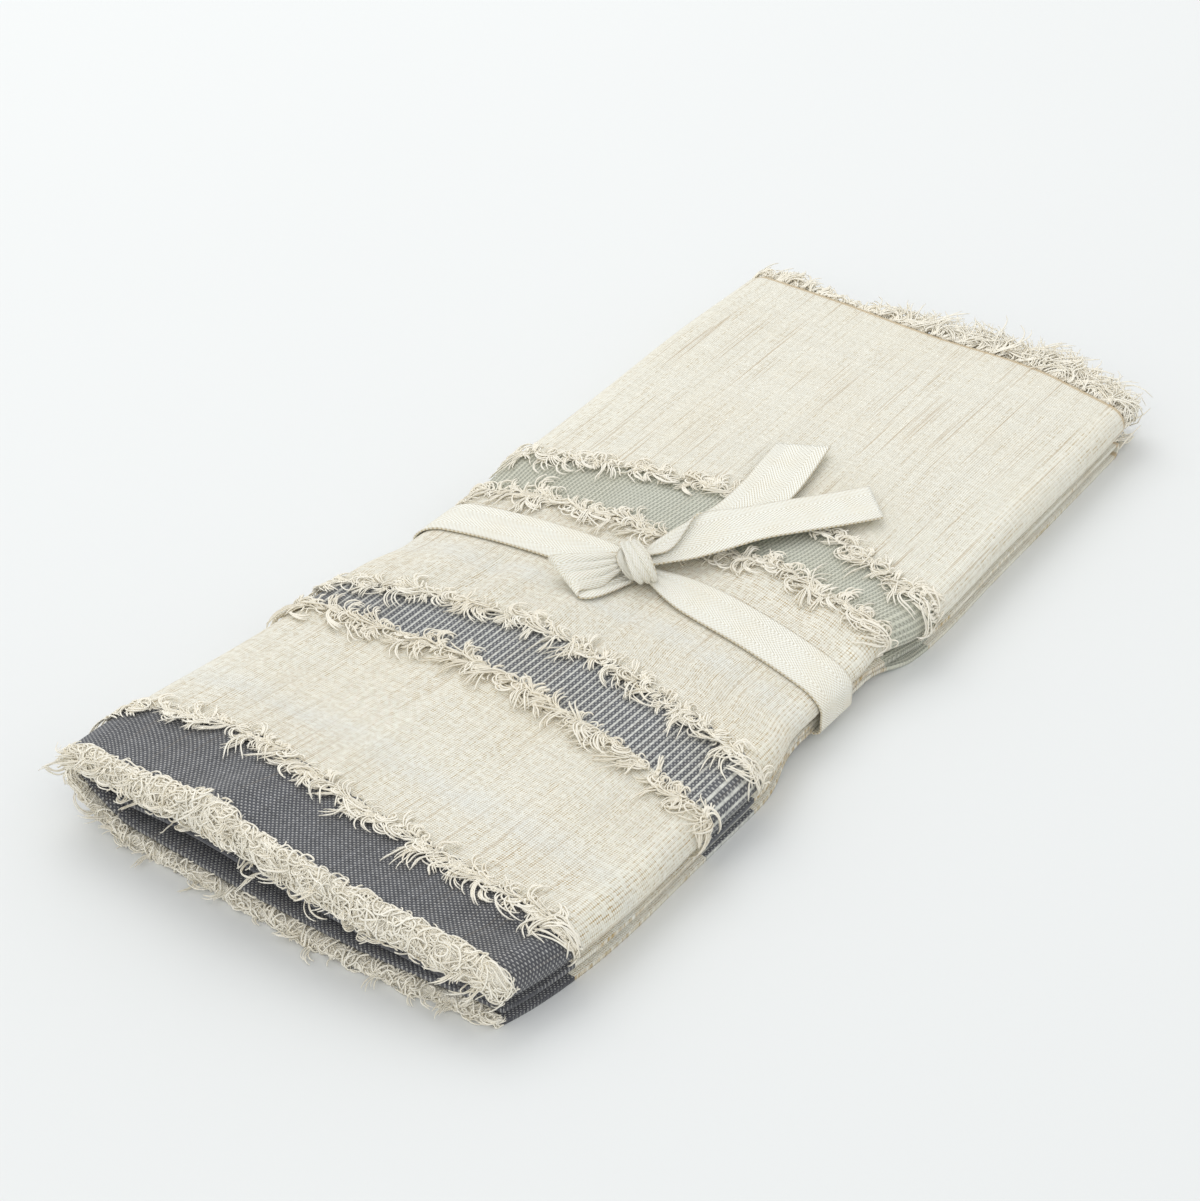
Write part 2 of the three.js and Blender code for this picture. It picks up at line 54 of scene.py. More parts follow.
# The pack, in millimetres, laid out as the solids are
PLY = 2.2
PITCH = 4.16
HALF_PITCH = PITCH / 2
LEFT, RIGHT = -83, 86
HALF_WIDTH = 82
NEAR_Y = -184
BOTTOM_EDGE_X, INNER_EDGE_X = 84, -60
MIDDLE = np.array([2, 5.64, 0])
BOTTOM_Z = PLY / 2 + HALF_PITCH
INNER_Z = BOTTOM_Z + 2 * PITCH
TOP_Z = BOTTOM_Z + 4 * PITCH
SKIN = HALF_PITCH + PLY / 2
LEFT_RADIUS = (TOP_Z - BOTTOM_Z) / 2
RIGHT_RADIUS = (TOP_Z - INNER_Z) / 2
LEFT_TURN_X = LEFT + LEFT_RADIUS + SKIN
RIGHT_TURN_X = RIGHT - RIGHT_RADIUS - SKIN

# The tape, and the room that the cloth leaves for it
TAPE_WIDTH = 18
TAPE_THICKNESS = 1.4
TAPE_GAP = 0.55
TAPE_ROOM = TAPE_THICKNESS + TAPE_GAP
TAPE_MIDDLE_Y, TAPE_SAG_Y = -6, 7
TAPE_CORNER = 4

# How the even pack is moved: drawn in at the waist, lifted at the near end, creased and waved
WAIST_FLAT, WAIST_REACH = 14.5, 46
PUCKER_START = (8, 14)
SQUEEZE_MIDDLE, SQUEEZE_SIDES = 0.14, 0.27
SIDE_RAISE = 2.4
MOUTH_REACH = 95
BULGE_X, BULGE_HEIGHT, BULGE_HALF_WIDTH, BULGE_REACH = -19, 4.5, 10, 34
SHOULDER_DROP, SHOULDER_FROM_X = 2.6, 48
CORNER_RISE, CORNER_FROM_X, CORNER_TO_X, CORNER_REACH = 13, -56, -84, 70
WAVE_HEIGHT, WAVE_X, WAVE_SKEW, WAVE_Y = 0.45, 21, 47, 33

# x of the pack's left and right edges along it, and the lift of the open end's upper jaw across it
SIDES_Y = (-184, -170, -152, -90, -40, -6, 40, 90, 140, 184)
SIDES_LEFT = (-84.5, -85, -85, -82, -80.5, -79.5, -79.5, -81, -83, -83)
SIDES_RIGHT = (79, 83, 86, 87, 85.5, 81, 86.5, 85, 83.5, 82)
LIFT_X = (-83, -60, -35, -10, 15, 40, 62, 86)
LIFT = (3, 4.6, 6.6, 6.4, 5.2, 3, 1.2, -0.6)

# Lines across the cloth, each given by its y at five places from left to right
LINE_X = (-80, -40, 0, 40, 80)
NEAR_END = (-182, -183, -184, -183, -179)
FAR_END = (181, 182, 181, 183, 180)
RAGGED = (
    (-158, -148, -153, -155, -154),
    (-84, -78, -77, -82, -90),
    (-69, -54, -50, -55, -63),
    (7, 15, 17, 23, 19),
    (28, 42, 50, 49, 40),
)


def mix(a, b, share):
    """The value a share of the way from a to b."""
    return a + (b - a) * share


def smooth(start, end, value):
    """0 before start and 1 past end, with a soft rise between them."""
    u = np.clip((value - start) / (end - start), 0, 1)
    return u * u * (3 - 2 * u)


def curve(at, xs, ys):
    """A smooth reading of a table: a cubic through its rows, level past its ends."""
    xs, ys = np.asarray(xs, float), np.asarray(ys, float)
    slope = np.gradient(ys, xs, axis=0)
    i = np.clip(np.searchsorted(xs, at) - 1, 0, len(xs) - 2)
    step = xs[i + 1] - xs[i]
    u = np.clip((np.asarray(at) - xs[i]) / step, 0, 1)
    if ys.ndim > 1:
        u, step = u[..., None], step[..., None]
    return (
        (1 + 2 * u) * (1 - u) ** 2 * ys[i]
        + u * (1 - u) ** 2 * step * slope[i]
        + u * u * (3 - 2 * u) * ys[i + 1]
        + u * u * (u - 1) * step * slope[i + 1]
    )


def tape_y(x):
    """y of the tape's middle, which sags towards the near end at both sides."""
    return TAPE_MIDDLE_Y - TAPE_SAG_Y * (x / HALF_WIDTH) ** 2


def near_end(y, reach):
    """1 at the near end, fading to 0 over a reach from it."""
    return 1 - smooth(NEAR_Y, NEAR_Y + reach, y)


# Soft ridges and troughs in the cloth: middle, turn from the Y axis, half length, half width, height
CREASES = (
    (-62, -120, 4, 40, 7, 0.9),
    (-38, -112, -3, 45, 8, -0.7),
    (-8, -118, 5, 40, 9, 0.8),
    (22, -110, 2, 44, 7, -0.7),
    (48, -104, -4, 40, 8, 0.8),
    (68, -120, -12, 34, 5, -0.8),
    (-10, 96, 3, 60, 12, 0.7),
    (34, 112, -2, 60, 11, 0.7),
    (64, 120, -3, 55, 7, -0.7),
    (-52, 110, 4, 60, 10, -0.6),
    (66, -168, 60, 22, 4, -0.9),
    (74, -150, 35, 22, 4, 0.7),
)

# The same for the cloth that the tape draws together, close to it on both sides
PUCKERS = (
    (-41, -36, -4, 17, 2.4, -1.9),
    (-31, -36, 0, 16, 5, 1.5),
    (-58, -34, 0, 16, 8, 1.6),
    (-8, -36, 5, 16, 6, 1.1),
    (12, -32, 10, 14, 2.8, -1.0),
    (27, -35, 8, 16, 6, 1.2),
    (47, -36, 5, 18, 6, 1.3),
    (62, -34, 0, 16, 3, -1.1),
    (-60, 20, 0, 15, 7, 1.1),
    (-38, 18, 4, 13, 3, -1.0),
    (-22, 18, 6, 14, 7, 1.0),
    (36, 19, -4, 15, 8, 1.2),
    (56, 17, -8, 13, 3, -1.2),
    (68, 16, -6, 14, 5, 1.2),
)


def folds(table, x, y):
    """Height that the ridges and troughs of a table give the outer face."""
    height = 0
    for cx, cy, turn_degrees, half_length, half_width, rise in table:
        turn_by = math.radians(turn_degrees)
        dx, dy = x - cx, y - cy
        along = dx * math.sin(turn_by) + dy * math.cos(turn_by)
        across = dx * math.cos(turn_by) - dy * math.sin(turn_by)
        height = height + rise * np.exp(-((along / half_length) ** 2) - (across / half_width) ** 2)
    return height


def settle(x, y, z):
    """Moves points of the even pack to where they lie in the real, uneven one, in metres."""
    x, y, z = np.broadcast_arrays(*(np.asarray(v, float) for v in (x, y, z)))
    across = np.clip((x - LEFT) / (RIGHT - LEFT), 0, 1)
    beyond = x - mix(LEFT, RIGHT, across)
    from_tape = y - tape_y(x)
    waist = 1 - smooth(WAIST_FLAT, WAIST_REACH, np.abs(from_tape))
    outline_y = tape_y(x) + from_tape * (1 - waist)
    left = curve(outline_y, SIDES_Y, SIDES_LEFT)
    right = curve(outline_y, SIDES_Y, SIDES_RIGHT)
    side = np.minimum(1.1, np.abs(x / HALF_WIDTH) ** 2.5)
    squeeze = 1 - waist * (SQUEEZE_MIDDLE + SQUEEZE_SIDES * side)

    fold = smooth(INNER_EDGE_X, LEFT_TURN_X, x)
    upper = smooth(mix(BOTTOM_Z + SKIN, PLY / 2, fold), mix(INNER_Z - SKIN, TOP_Z, fold), z)
    mouth = curve(x, LIFT_X, LIFT) * near_end(y, MOUTH_REACH)

    top_panel = smooth(INNER_Z + SKIN, TOP_Z - SKIN, z)
    ridge = np.exp(-(((x - BULGE_X) / BULGE_HALF_WIDTH) ** 2))
    bulge = BULGE_HEIGHT * ridge * near_end(y, BULGE_REACH) + folds(CREASES, x, y)
    drawn_up = top_panel * folds(PUCKERS, x, y) * smooth(*PUCKER_START, np.abs(from_tape))
    shoulder = -SHOULDER_DROP * smooth(SHOULDER_FROM_X, RIGHT, x) * (z / (TOP_Z + SKIN))
    swell = np.sin(x / WAVE_X + y / WAVE_SKEW) * np.sin(y / WAVE_Y + 1)
    wave = WAVE_HEIGHT * swell * (1 - waist)

    lift = upper * (mouth + wave) + top_panel * bulge + upper * shoulder
    drawn = SIDE_RAISE * side * waist
    height = squeeze * (z + TAPE_ROOM * waist) + lift * (1 - waist) + drawn + drawn_up
    foot = CORNER_RISE * smooth(CORNER_FROM_X, CORNER_TO_X, x) * near_end(y, CORNER_REACH)
    top = TOP_Z + SKIN + mouth
    height = np.where(foot > 0, foot + height * (1 - foot / top), height)
    placed = np.stack([mix(left, right, across) + beyond, y, height], axis=-1)
    return (placed - MIDDLE) * MM


# Points that each part of the section is read at
SAMPLES = 400


def straight(from_x, to_x, z, out):
    """A flat panel's middle line: rows of x, z and the way out of the roll."""
    x = np.linspace(from_x, to_x, SAMPLES)
    return np.stack([x, np.full_like(x, z), np.zeros_like(x), np.full_like(x, out)])


def turn(cx, cz, radius, from_degrees, to_degrees):
    """A round turn's middle line, in the same rows."""
    a = np.radians(np.linspace(from_degrees, to_degrees, SAMPLES))
    return np.stack([cx + radius * np.cos(a), cz + radius * np.sin(a), np.cos(a), np.sin(a)])


# The cloth's section, from the bottom panel's free edge round to the inner panel's
SECTION = np.concatenate(
    [
        straight(BOTTOM_EDGE_X, LEFT_TURN_X, BOTTOM_Z, -1),
        turn(LEFT_TURN_X, (TOP_Z + BOTTOM_Z) / 2, LEFT_RADIUS, -90, -270),
        straight(LEFT_TURN_X, RIGHT_TURN_X, TOP_Z, 1),
        turn(RIGHT_TURN_X, (TOP_Z + INNER_Z) / 2, RIGHT_RADIUS, 90, -90),
        straight(RIGHT_TURN_X, INNER_EDGE_X, INNER_Z, -1),
    ],
    axis=1,
)
SECTION_S = np.concatenate([[0], np.cumsum(np.hypot(*np.diff(SECTION[:2], axis=1)))])
LEFT_FOLD_S = BOTTOM_EDGE_X - LEFT_TURN_X
TOP_S = LEFT_FOLD_S + math.pi * LEFT_RADIUS
RIGHT_FOLD_S = TOP_S + RIGHT_TURN_X - LEFT_TURN_X
INNER_S = RIGHT_FOLD_S + math.pi * RIGHT_RADIUS
CLOTH_WIDTH = INNER_S + RIGHT_TURN_X - INNER_EDGE_X


def on_section(s):
    """x, z and the way out of the roll at a distance s along the section."""
    return [np.interp(s, SECTION_S, row) for row in SECTION]


def lay(s, y, q):
    """The point at s along the section, y along the pack and q out of the doubled panel's middle."""
    x, z, out_x, out_z = on_section(s)
    return settle(x + out_x * q, y, z + out_z * q)


def line_y(line, x):
    """y of a line across the cloth at x."""
    return curve(x, LINE_X, line)


# Distances along the cloth from its near end: of the ragged lines, and of the halving fold
LINE_T = (30, 102, 126, 200, 226)
FAR_T = 365.5
CLOTH_LENGTH = 2 * FAR_T + math.pi * HALF_PITCH
# The same for all places where the cloth's threads across are held, each with its y at x
STATIONS = (
    (0, lambda x: line_y(NEAR_END, x)),
    (LINE_T[0], lambda x: line_y(RAGGED[0], x)),
    (66, lambda x: -118 + 0 * x),
    (LINE_T[1], lambda x: line_y(RAGGED[1], x)),
    (LINE_T[2], lambda x: line_y(RAGGED[2], x)),
    (161, lambda x: tape_y(x) - WAIST_FLAT),
    (190, lambda x: tape_y(x) + WAIST_FLAT),
    (LINE_T[3], lambda x: line_y(RAGGED[3], x)),
    (LINE_T[4], lambda x: line_y(RAGGED[4], x)),
    (276, lambda x: 92 + 0 * x),
    (324, lambda x: 140 + 0 * x),
    (FAR_T, lambda x: line_y(FAR_END, x)),
)


def cloth_y(t, x):
    """y of each place x on the cloth's threads at the distances t from its near end."""
    return curve(t, [s[0] for s in STATIONS], np.stack([s[1](x) for s in STATIONS]))


# Materials and node groups


def put(tree, kind, *sources, out=0, **settings):
    """Adds a node, feeds its inputs in order from sockets or plain values, and gives back an output."""
    node = tree.nodes.new(kind)
    for key, value in settings.items():
        setattr(node, key, value)
    for socket, source in zip(node.inputs, sources):
        if isinstance(source, bpy.types.NodeSocket):
            tree.links.new(source, socket)
        elif source is not None:
            socket.default_value = source
    return node.outputs[out]


def maths(tree, operation, *sources, clamp=False):
    """What a Math node makes of numbers and sockets."""
    return put(tree, "ShaderNodeMath", *sources, operation=operation, use_clamp=clamp)


def product(tree, first, *others):
    """Multiplies numbers and sockets in order."""
    for other in others:
        first = maths(tree, "MULTIPLY", first, other)
    return first


def blend(tree, share, a, b, mode="MIX"):
    """Mixes two colours by a share of the second."""
    node = tree.nodes.new("ShaderNodeMix")
    node.data_type, node.blend_type, node.clamp_factor = "RGBA", mode, True
    for index, source in ((0, share), (6, a), (7, b)):
        if isinstance(source, bpy.types.NodeSocket):
            tree.links.new(source, node.inputs[index])
        else:
            node.inputs[index].default_value = source
    return node.outputs[2]


def wave(tree, turns):
    """A sine that crosses zero at each whole number."""
    return maths(tree, "SINE", product(tree, turns, math.pi))


def between(tree, value, low, high, to_low=0.0, to_high=1.0):
    """value from low to high, spread over to_low to to_high and held there past the ends."""
    return put(tree, "ShaderNodeMapRange", value, low, high, to_low, to_high, interpolation_type="LINEAR")


def noise(tree, place, scale, detail=2.0, stretch=None):
    """Soft noise from 0 to 1. stretch scales the place along each axis first."""
    if stretch:
        place = put(tree, "ShaderNodeVectorMath", place, stretch, operation="MULTIPLY")
    return put(tree, "ShaderNodeTexNoise", place, None, scale, detail)


def bands(tree, t, values):
    """Steps through one value or colour for each woven band, from the near end to the far one."""
    node = tree.nodes.new("ShaderNodeValToRGB")
    node.color_ramp.interpolation = "CONSTANT"
    tree.links.new(t, node.inputs[0])
    stops = node.color_ramp.elements
    stops.remove(stops[1])
    for i, value in enumerate(values):
        place = (0, *LINE_T)[i] / FAR_T
        stop = stops[0] if i == 0 else stops.new(place)
        stop.color = (*value, 1) if hasattr(value, "__len__") else (value, value, value, 1)
    return node.outputs[0]


def new_group(name, inputs, outputs):
    """A node group with named sockets. Returns the tree, its input sockets by name and its end node."""
    tree = bpy.data.node_groups.new(name, "ShaderNodeTree")
    for label, (kind, value) in inputs.items():
        socket = tree.interface.new_socket(name=label, in_out="INPUT", socket_type=kind)
        if value is not None:
            socket.default_value = value
    for label, kind in outputs.items():
        tree.interface.new_socket(name=label, in_out="OUTPUT", socket_type=kind)
    start = tree.nodes.new("NodeGroupInput")
    return tree, {s.name: s for s in start.outputs if s.name}, tree.nodes.new("NodeGroupOutput")


def use_group(tree, group, **sources):
    """Places a group and feeds its sockets, whose names have spaces where the keywords have underscores."""
    node = tree.nodes.new("ShaderNodeGroup")
    node.node_tree = group
    for label, source in sources.items():
        socket = node.inputs[label.replace("_", " ")]
        if isinstance(source, bpy.types.NodeSocket):
            tree.links.new(source, socket)
        else:
            socket.default_value = source
    return node.outputs


FLOAT, COLOUR, VECTOR = "NodeSocketFloat", "NodeSocketColor", "NodeSocketVector"


def plain_weave():
    """Warp over weft, one over and one under, with uneven threads and painted shade in the gap at each
    crossing.
    """
    tree, given, end = new_group(
        "Plain weave",
        {
            "Place": (VECTOR, None),
            "Warp pitch": (FLOAT, 0.0006),
            "Weft pitch": (FLOAT, 0.0006),
            "Warp share": (FLOAT, 0.5),
            "Darkest thread": (FLOAT, 0.95),
            "Warp colour": (COLOUR, None),
            "Weft colour": (COLOUR, None),
            "Gap colour": (COLOUR, None),
            "Gap strength": (FLOAT, 0.5),
        },
        {"Colour": COLOUR, "Height": FLOAT},
    )
    axes = put(tree, "ShaderNodeSeparateXYZ", given["Place"])
    across, along = axes, axes.node.outputs[1]
    drift = product(tree, maths(tree, "SUBTRACT", noise(tree, given["Place"], 22, 2), 0.5), 1.8)
    warp = maths(tree, "ADD", maths(tree, "DIVIDE", across, given["Warp pitch"]), drift)
    weft = maths(tree, "ADD", maths(tree, "DIVIDE", along, given["Weft pitch"]), drift)
    cross = product(tree, wave(tree, warp), wave(tree, weft))
    level = maths(tree, "SUBTRACT", 1, product(tree, given["Warp share"], 2))
    on_top = between(tree, maths(tree, "SUBTRACT", cross, level), -0.12, 0.12)
    pillow = maths(tree, "POWER", maths(tree, "ABSOLUTE", cross), 0.5)
    threads = []
    for v in (warp, weft):
        draw = put(tree, "ShaderNodeTexWhiteNoise", None, maths(tree, "FLOOR", v), noise_dimensions="1D")
        threads.append(between(tree, draw, 0.0, 1.0, given["Darkest thread"], 1.03))
    worn = between(tree, noise(tree, given["Place"], 900, 1), 0.35, 0.65, given["Darkest thread"], 1.0)
    shade = product(tree, *threads, worn)
    lit = put(tree, "ShaderNodeCombineXYZ", shade, shade, shade)
    colour = blend(tree, on_top, given["Weft colour"], given["Warp colour"])
    colour = blend(tree, 1.0, colour, lit, "MULTIPLY")
    # The gap at each crossing gets painted shade, uneven from place to place
    speckle = between(tree, noise(tree, given["Place"], 640, 2), 0.38, 0.64, 0.1, 1.8)
    gap_shade = product(tree, between(tree, pillow, 0.2, 0.64, 1, 0), speckle)
    gap_shade = maths(tree, "MULTIPLY", gap_shade, given["Gap strength"], clamp=True)
    tree.links.new(blend(tree, gap_shade, colour, given["Gap colour"]), end.inputs[0])
    tree.links.new(pillow, end.inputs[1])
    return tree


def streaks():
    """Long thin streaks along the second axis, as slubbed and darker threads make."""
    tree, given, end = new_group(
        "Slub streaks",
        {
            "Place": (VECTOR, None),
            "Per metre": (FLOAT, 900.0),
            "Length share": (FLOAT, 0.02),
            "Rarity": (FLOAT, 0.62),
            "Softness": (FLOAT, 0.08),
        },
        {"Mask": FLOAT},
    )
    stretch = put(tree, "ShaderNodeCombineXYZ", 1.0, given["Length share"], 1.0)
    place = put(tree, "ShaderNodeVectorMath", given["Place"], stretch, operation="MULTIPLY")
    field = put(tree, "ShaderNodeTexNoise", place, None, given["Per metre"], 1.5)
    past = maths(tree, "SUBTRACT", field, given["Rarity"])
    tree.links.new(maths(tree, "DIVIDE", past, given["Softness"], clamp=True), end.inputs[0])
    return tree


def cotton_tint():
    """The faint uneven tint of undyed cotton."""
    tree, given, end = new_group(
        "Cotton tint",
        {
            "Place": (VECTOR, None),
            "Colour": (COLOUR, None),
            "Patches per metre": (FLOAT, 40.0),
            "Amount": (FLOAT, 0.5),
        },
        {"Colour": COLOUR},
    )
    field = put(tree, "ShaderNodeTexNoise", given["Place"], None, given["Patches per metre"], 3.0)
    warm = blend(tree, given["Amount"], given["Colour"], (0.93, 0.86, 0.74, 1), "MULTIPLY")
    share = between(tree, field, 0.45, 0.75)
    tree.links.new(blend(tree, share, given["Colour"], warm), end.inputs[0])
    return tree


def new_material(name, roughness, sheen):
    """A material with one Principled shader, and its tree."""
    material = bpy.data.materials.new(name)
    material.use_nodes = True
    shader = material.node_tree.nodes["Principled BSDF"]
    shader.inputs["Roughness"].default_value = roughness
    shader.inputs["Specular IOR Level"].default_value = 0.25
    shader.inputs["Sheen Weight"].default_value = sheen
    shader.inputs["Sheen Roughness"].default_value = 0.5
    return material, material.node_tree, shader


def srgb(text):
    """A colour in linear light from its six hexadecimal digits."""
    parts = [int(text[i : i + 2], 16) / 255 for i in (0, 2, 4)]
    return tuple(c / 12.92 if c <= 0.04045 else ((c + 0.055) / 1.055) ** 2.4 for c in parts)


def opaque(colour):
    """A colour with its alpha, from its six digits or its three parts."""
    return (*(srgb(colour) if isinstance(colour, str) else colour), 1)


def emboss(tree, shader, height, strength, distance):
    """Gives the shader's surface a relief."""
    bump = put(tree, "ShaderNodeBump", strength, distance)
    tree.links.new(height, bump.node.inputs["Height"])
    tree.links.new(bump, shader.inputs["Normal"])


def tint(tree, shader, groups, place, colour, patches, amount):
    """Feeds a colour to the shader through the uneven tint that all the cotton has."""
    made = use_group(
        tree, groups["tint"], Place=place, Colour=colour, Patches_per_metre=patches, Amount=amount
    )
    tree.links.new(made["Colour"], shader.inputs["Base Color"])


# For each woven band, from the near end to the far one: the warp's share of the face, the strength and colour
# of the painted shade in the gaps between its threads, the shade of its darkest thread, and how strongly its
# slubs show
WARP_SHARES = (0.31, 0.5, 0.33, 0.5, 0.5, 0.5)
GAP_SHADE_STRENGTHS = (0.3, 0.52, 0.3, 0.58, 0.1, 0.36)
GAP_SHADE_COLOURS = ("404046", "B79C68", "44444A", "B79C68", "8A8C82", "C0AA7E")
DARKEST_THREADS = (0.8, 0.965, 0.86, 0.965, 0.95, 0.975)
SLUB_STRENGTHS = (0.1, 0.4, 0.1, 0.45, 0.12, 0.6)
ECRU_BANDS, MID_BAND, GREEN_BAND = (0, 1, 0, 1, 0, 1), (0, 0, 1, 0, 0, 0), (0, 0, 0, 0, 1, 0)
# Stretches of the cloth, in metres from its ends, that a cooler yarn was woven into
COOL_STRETCHES = ((0.046, 0.062), (0.148, 0.162))
# Painted shade along the rim of the halving fold: how far it reaches before and past the far end
SHADED_RIM_BEFORE, SHADED_RIM_PAST = 0.0006, 0.0022


def cloth_material(settings, groups):
    """Hand-woven bands: the weave, its slubs, stripes and specks, with painted shade in the gaps between
    threads, in the pits between ribs and along the halving fold's rim, all laid along the cloth's own UV map.
    """
    material, tree, shader = new_material("Woven cotton", 0.92, 0.15)
    place = put(tree, "ShaderNodeUVMap", uv_map="cloth")
    axes = put(tree, "ShaderNodeSeparateXYZ", place)
    across, along = axes, axes.node.outputs[1]
    half = CLOTH_LENGTH * MM / 2
    folded = maths(tree, "SUBTRACT", half, maths(tree, "ABSOLUTE", maths(tree, "SUBTRACT", along, half)))
    ragged = product(tree, maths(tree, "SUBTRACT", noise(tree, place, 160, 4), 0.5), 0.005)
    t = maths(tree, "DIVIDE", maths(tree, "ADD", folded, ragged), FAR_T * MM)

    dark, mid, green = tuple(settings.dark_grey), tuple(settings.mid_grey), tuple(settings.grey_green)
    ecru, pale = tuple(settings.ecru), tuple(settings.pale_thread)
    rib = settings.grey_green_rib
    weft = bands(tree, t, (dark, ecru, mid, ecru, green, ecru))
    warp = bands(tree, t, (pale, ecru, pale, ecru, tuple(rib), ecru))
    # Tan streaks in the ecru bands: real darker threads, drawn as deeper painted shade in the gaps between
    # threads
    tan = use_group(
        tree, groups["streaks"], Place=place, Per_metre=620.0, Length_share=0.05, Rarity=0.55, Softness=0.1
    )["Mask"]
    tan = product(tree, tan, bands(tree, t, ECRU_BANDS), 0.5)
    weave = use_group(
        tree,
        groups["weave"],
        Place=place,
        Warp_pitch=settings.warp_pitch,
        Weft_pitch=settings.weft_pitch,
        Warp_share=bands(tree, t, WARP_SHARES),
        Darkest_thread=bands(tree, t, DARKEST_THREADS),
        Warp_colour=warp,
        Weft_colour=weft,
        Gap_colour=bands(tree, t, [srgb(digits) for digits in GAP_SHADE_COLOURS]),
        Gap_strength=maths(tree, "ADD", bands(tree, t, GAP_SHADE_STRENGTHS), tan),
    )
    colour = weave["Colour"]

    # White stripes of the mid grey band, worn through in places
    drift = product(tree, noise(tree, place, 30, stretch=(1, 0.1, 1)), 1.4)
    stripe = stripes(tree, across, settings.stripe_pitch, drift, 0.09, 0.2)
    worn = between(tree, noise(tree, place, 700, 2), 0.35, 0.6, 0.6, 1.0)
    stripe = product(tree, stripe, bands(tree, t, MID_BAND), worn)
    colour = blend(tree, stripe, colour, opaque(settings.stripe))

    # Ribs of the grey-green band, with painted shade in the pits between them
    in_green = bands(tree, t, GREEN_BAND)
    ribs = stripes(tree, across, settings.rib_pitch, drift, 0.14, 0.3)
    between_ribs = product(tree, maths(tree, "SUBTRACT", 1, ribs), in_green)
    beads = maths(tree, "ABSOLUTE", wave(tree, maths(tree, "DIVIDE", along, settings.weft_pitch)))
    pit_shade = product(tree, between_ribs, between(tree, beads, 0.35, 0.8), 0.5)
    ribs = product(tree, ribs, in_green)
    colour = blend(tree, product(tree, ribs, 0.7), colour, opaque(rib))
    colour = blend(tree, pit_shade, colour, opaque("84887E"))

    # Slubs, the cooler stretches and the painted shade along the rim of the halving fold
    slub = use_group(
        tree, groups["streaks"], Place=place, Per_metre=1300.0, Length_share=0.011, Rarity=0.6, Softness=0.12
    )["Mask"]
    slub = product(tree, slub, bands(tree, t, SLUB_STRENGTHS))
    colour = blend(tree, slub, colour, opaque("B59B74"))
    cool = maths(tree, "ADD", *[window(tree, folded, *stretch) for stretch in COOL_STRETCHES])
    cool = product(tree, cool, between(tree, noise(tree, place, 90, 3), 0.35, 0.65, 0.1, 0.3))
    colour = blend(tree, cool, colour, opaque("E8ECEA"))
    # The halving fold's rim gets a tan painted shade
    rim_shade = window(tree, folded, FAR_T * MM - SHADED_RIM_BEFORE, FAR_T * MM + SHADED_RIM_PAST)
    colour = blend(tree, product(tree, rim_shade, 0.75), colour, opaque("C4AB80"))
    tint(tree, shader, groups, place, colour, 26.0, 0.25)

    height = weave["Height"]
    for source, share in ((stripe, 0.6), (ribs, 0.8), (noise(tree, place, 1500, 2), 0.3)):
        height = maths(tree, "ADD", height, product(tree, source, share))
    emboss(tree, shader, height, 0.65, 0.00035)
    return material


def stripes(tree, across, pitch, drift, core, edge):
    """Lines along the cloth, a pitch apart: 1 within core of a pitch from a line's middle, 0 past edge."""
    at = maths(tree, "ADD", maths(tree, "DIVIDE", across, pitch), drift)
    away = maths(tree, "ABSOLUTE", maths(tree, "SUBTRACT", maths(tree, "FRACT", at), 0.5))
    return between(tree, away, core, edge, 1, 0)


def window(tree, value, low, high):
    """1 at the middle of low to high, fading to 0 at its ends."""
    middle, half = (low + high) / 2, (high - low) / 2
    away = maths(tree, "ABSOLUTE", maths(tree, "SUBTRACT", value, middle))
    return between(tree, away, 0.4 * half, half, 1, 0)


def yarn_material(name, light, deep, groups):
    """Loose cotton yarn: each strand has its own shade, and the matted roots have strands in relief."""
    material, tree, shader = new_material(name, 0.9, 0.05)
    place = put(tree, "ShaderNodeTexCoord", out=3)
    shade = put(tree, "ShaderNodeAttribute", attribute_name="shade", out=2)
    tint(tree, shader, groups, place, blend(tree, shade, opaque(light), opaque(deep)), 90.0, 0.18)
    bend = put(tree, "ShaderNodeTexNoise", place, None, 260.0, 2.0, out=1)
    bend = put(tree, "ShaderNodeVectorMath", bend, (0.004, 0.004, 0.004), operation="MULTIPLY")
    bent = put(tree, "ShaderNodeVectorMath", place, bend, operation="ADD")
    strand = put(tree, "ShaderNodeTexVoronoi", bent, None, 1300.0, feature="DISTANCE_TO_EDGE")
    matted = put(tree, "ShaderNodeAttribute", attribute_name="matted", out=2)
    emboss(tree, shader, product(tree, between(tree, strand, 0, 0.3), matted), 0.8, 0.0004)
    return material


def yarn(settings, name, groups):
    """White or undyed yarn, made the first time that it is asked for."""
    white, ecru = np.array(settings.white, float), np.array(settings.ecru, float)
    light, deep = {
        "White yarn": (white, mix(white, ecru, 0.6)),
        "Ecru yarn": (mix(white, ecru, 0.4), srgb("F8F1E0")),
    }[name]
    return bpy.data.materials.get(name) or yarn_material(name, light, deep, groups)


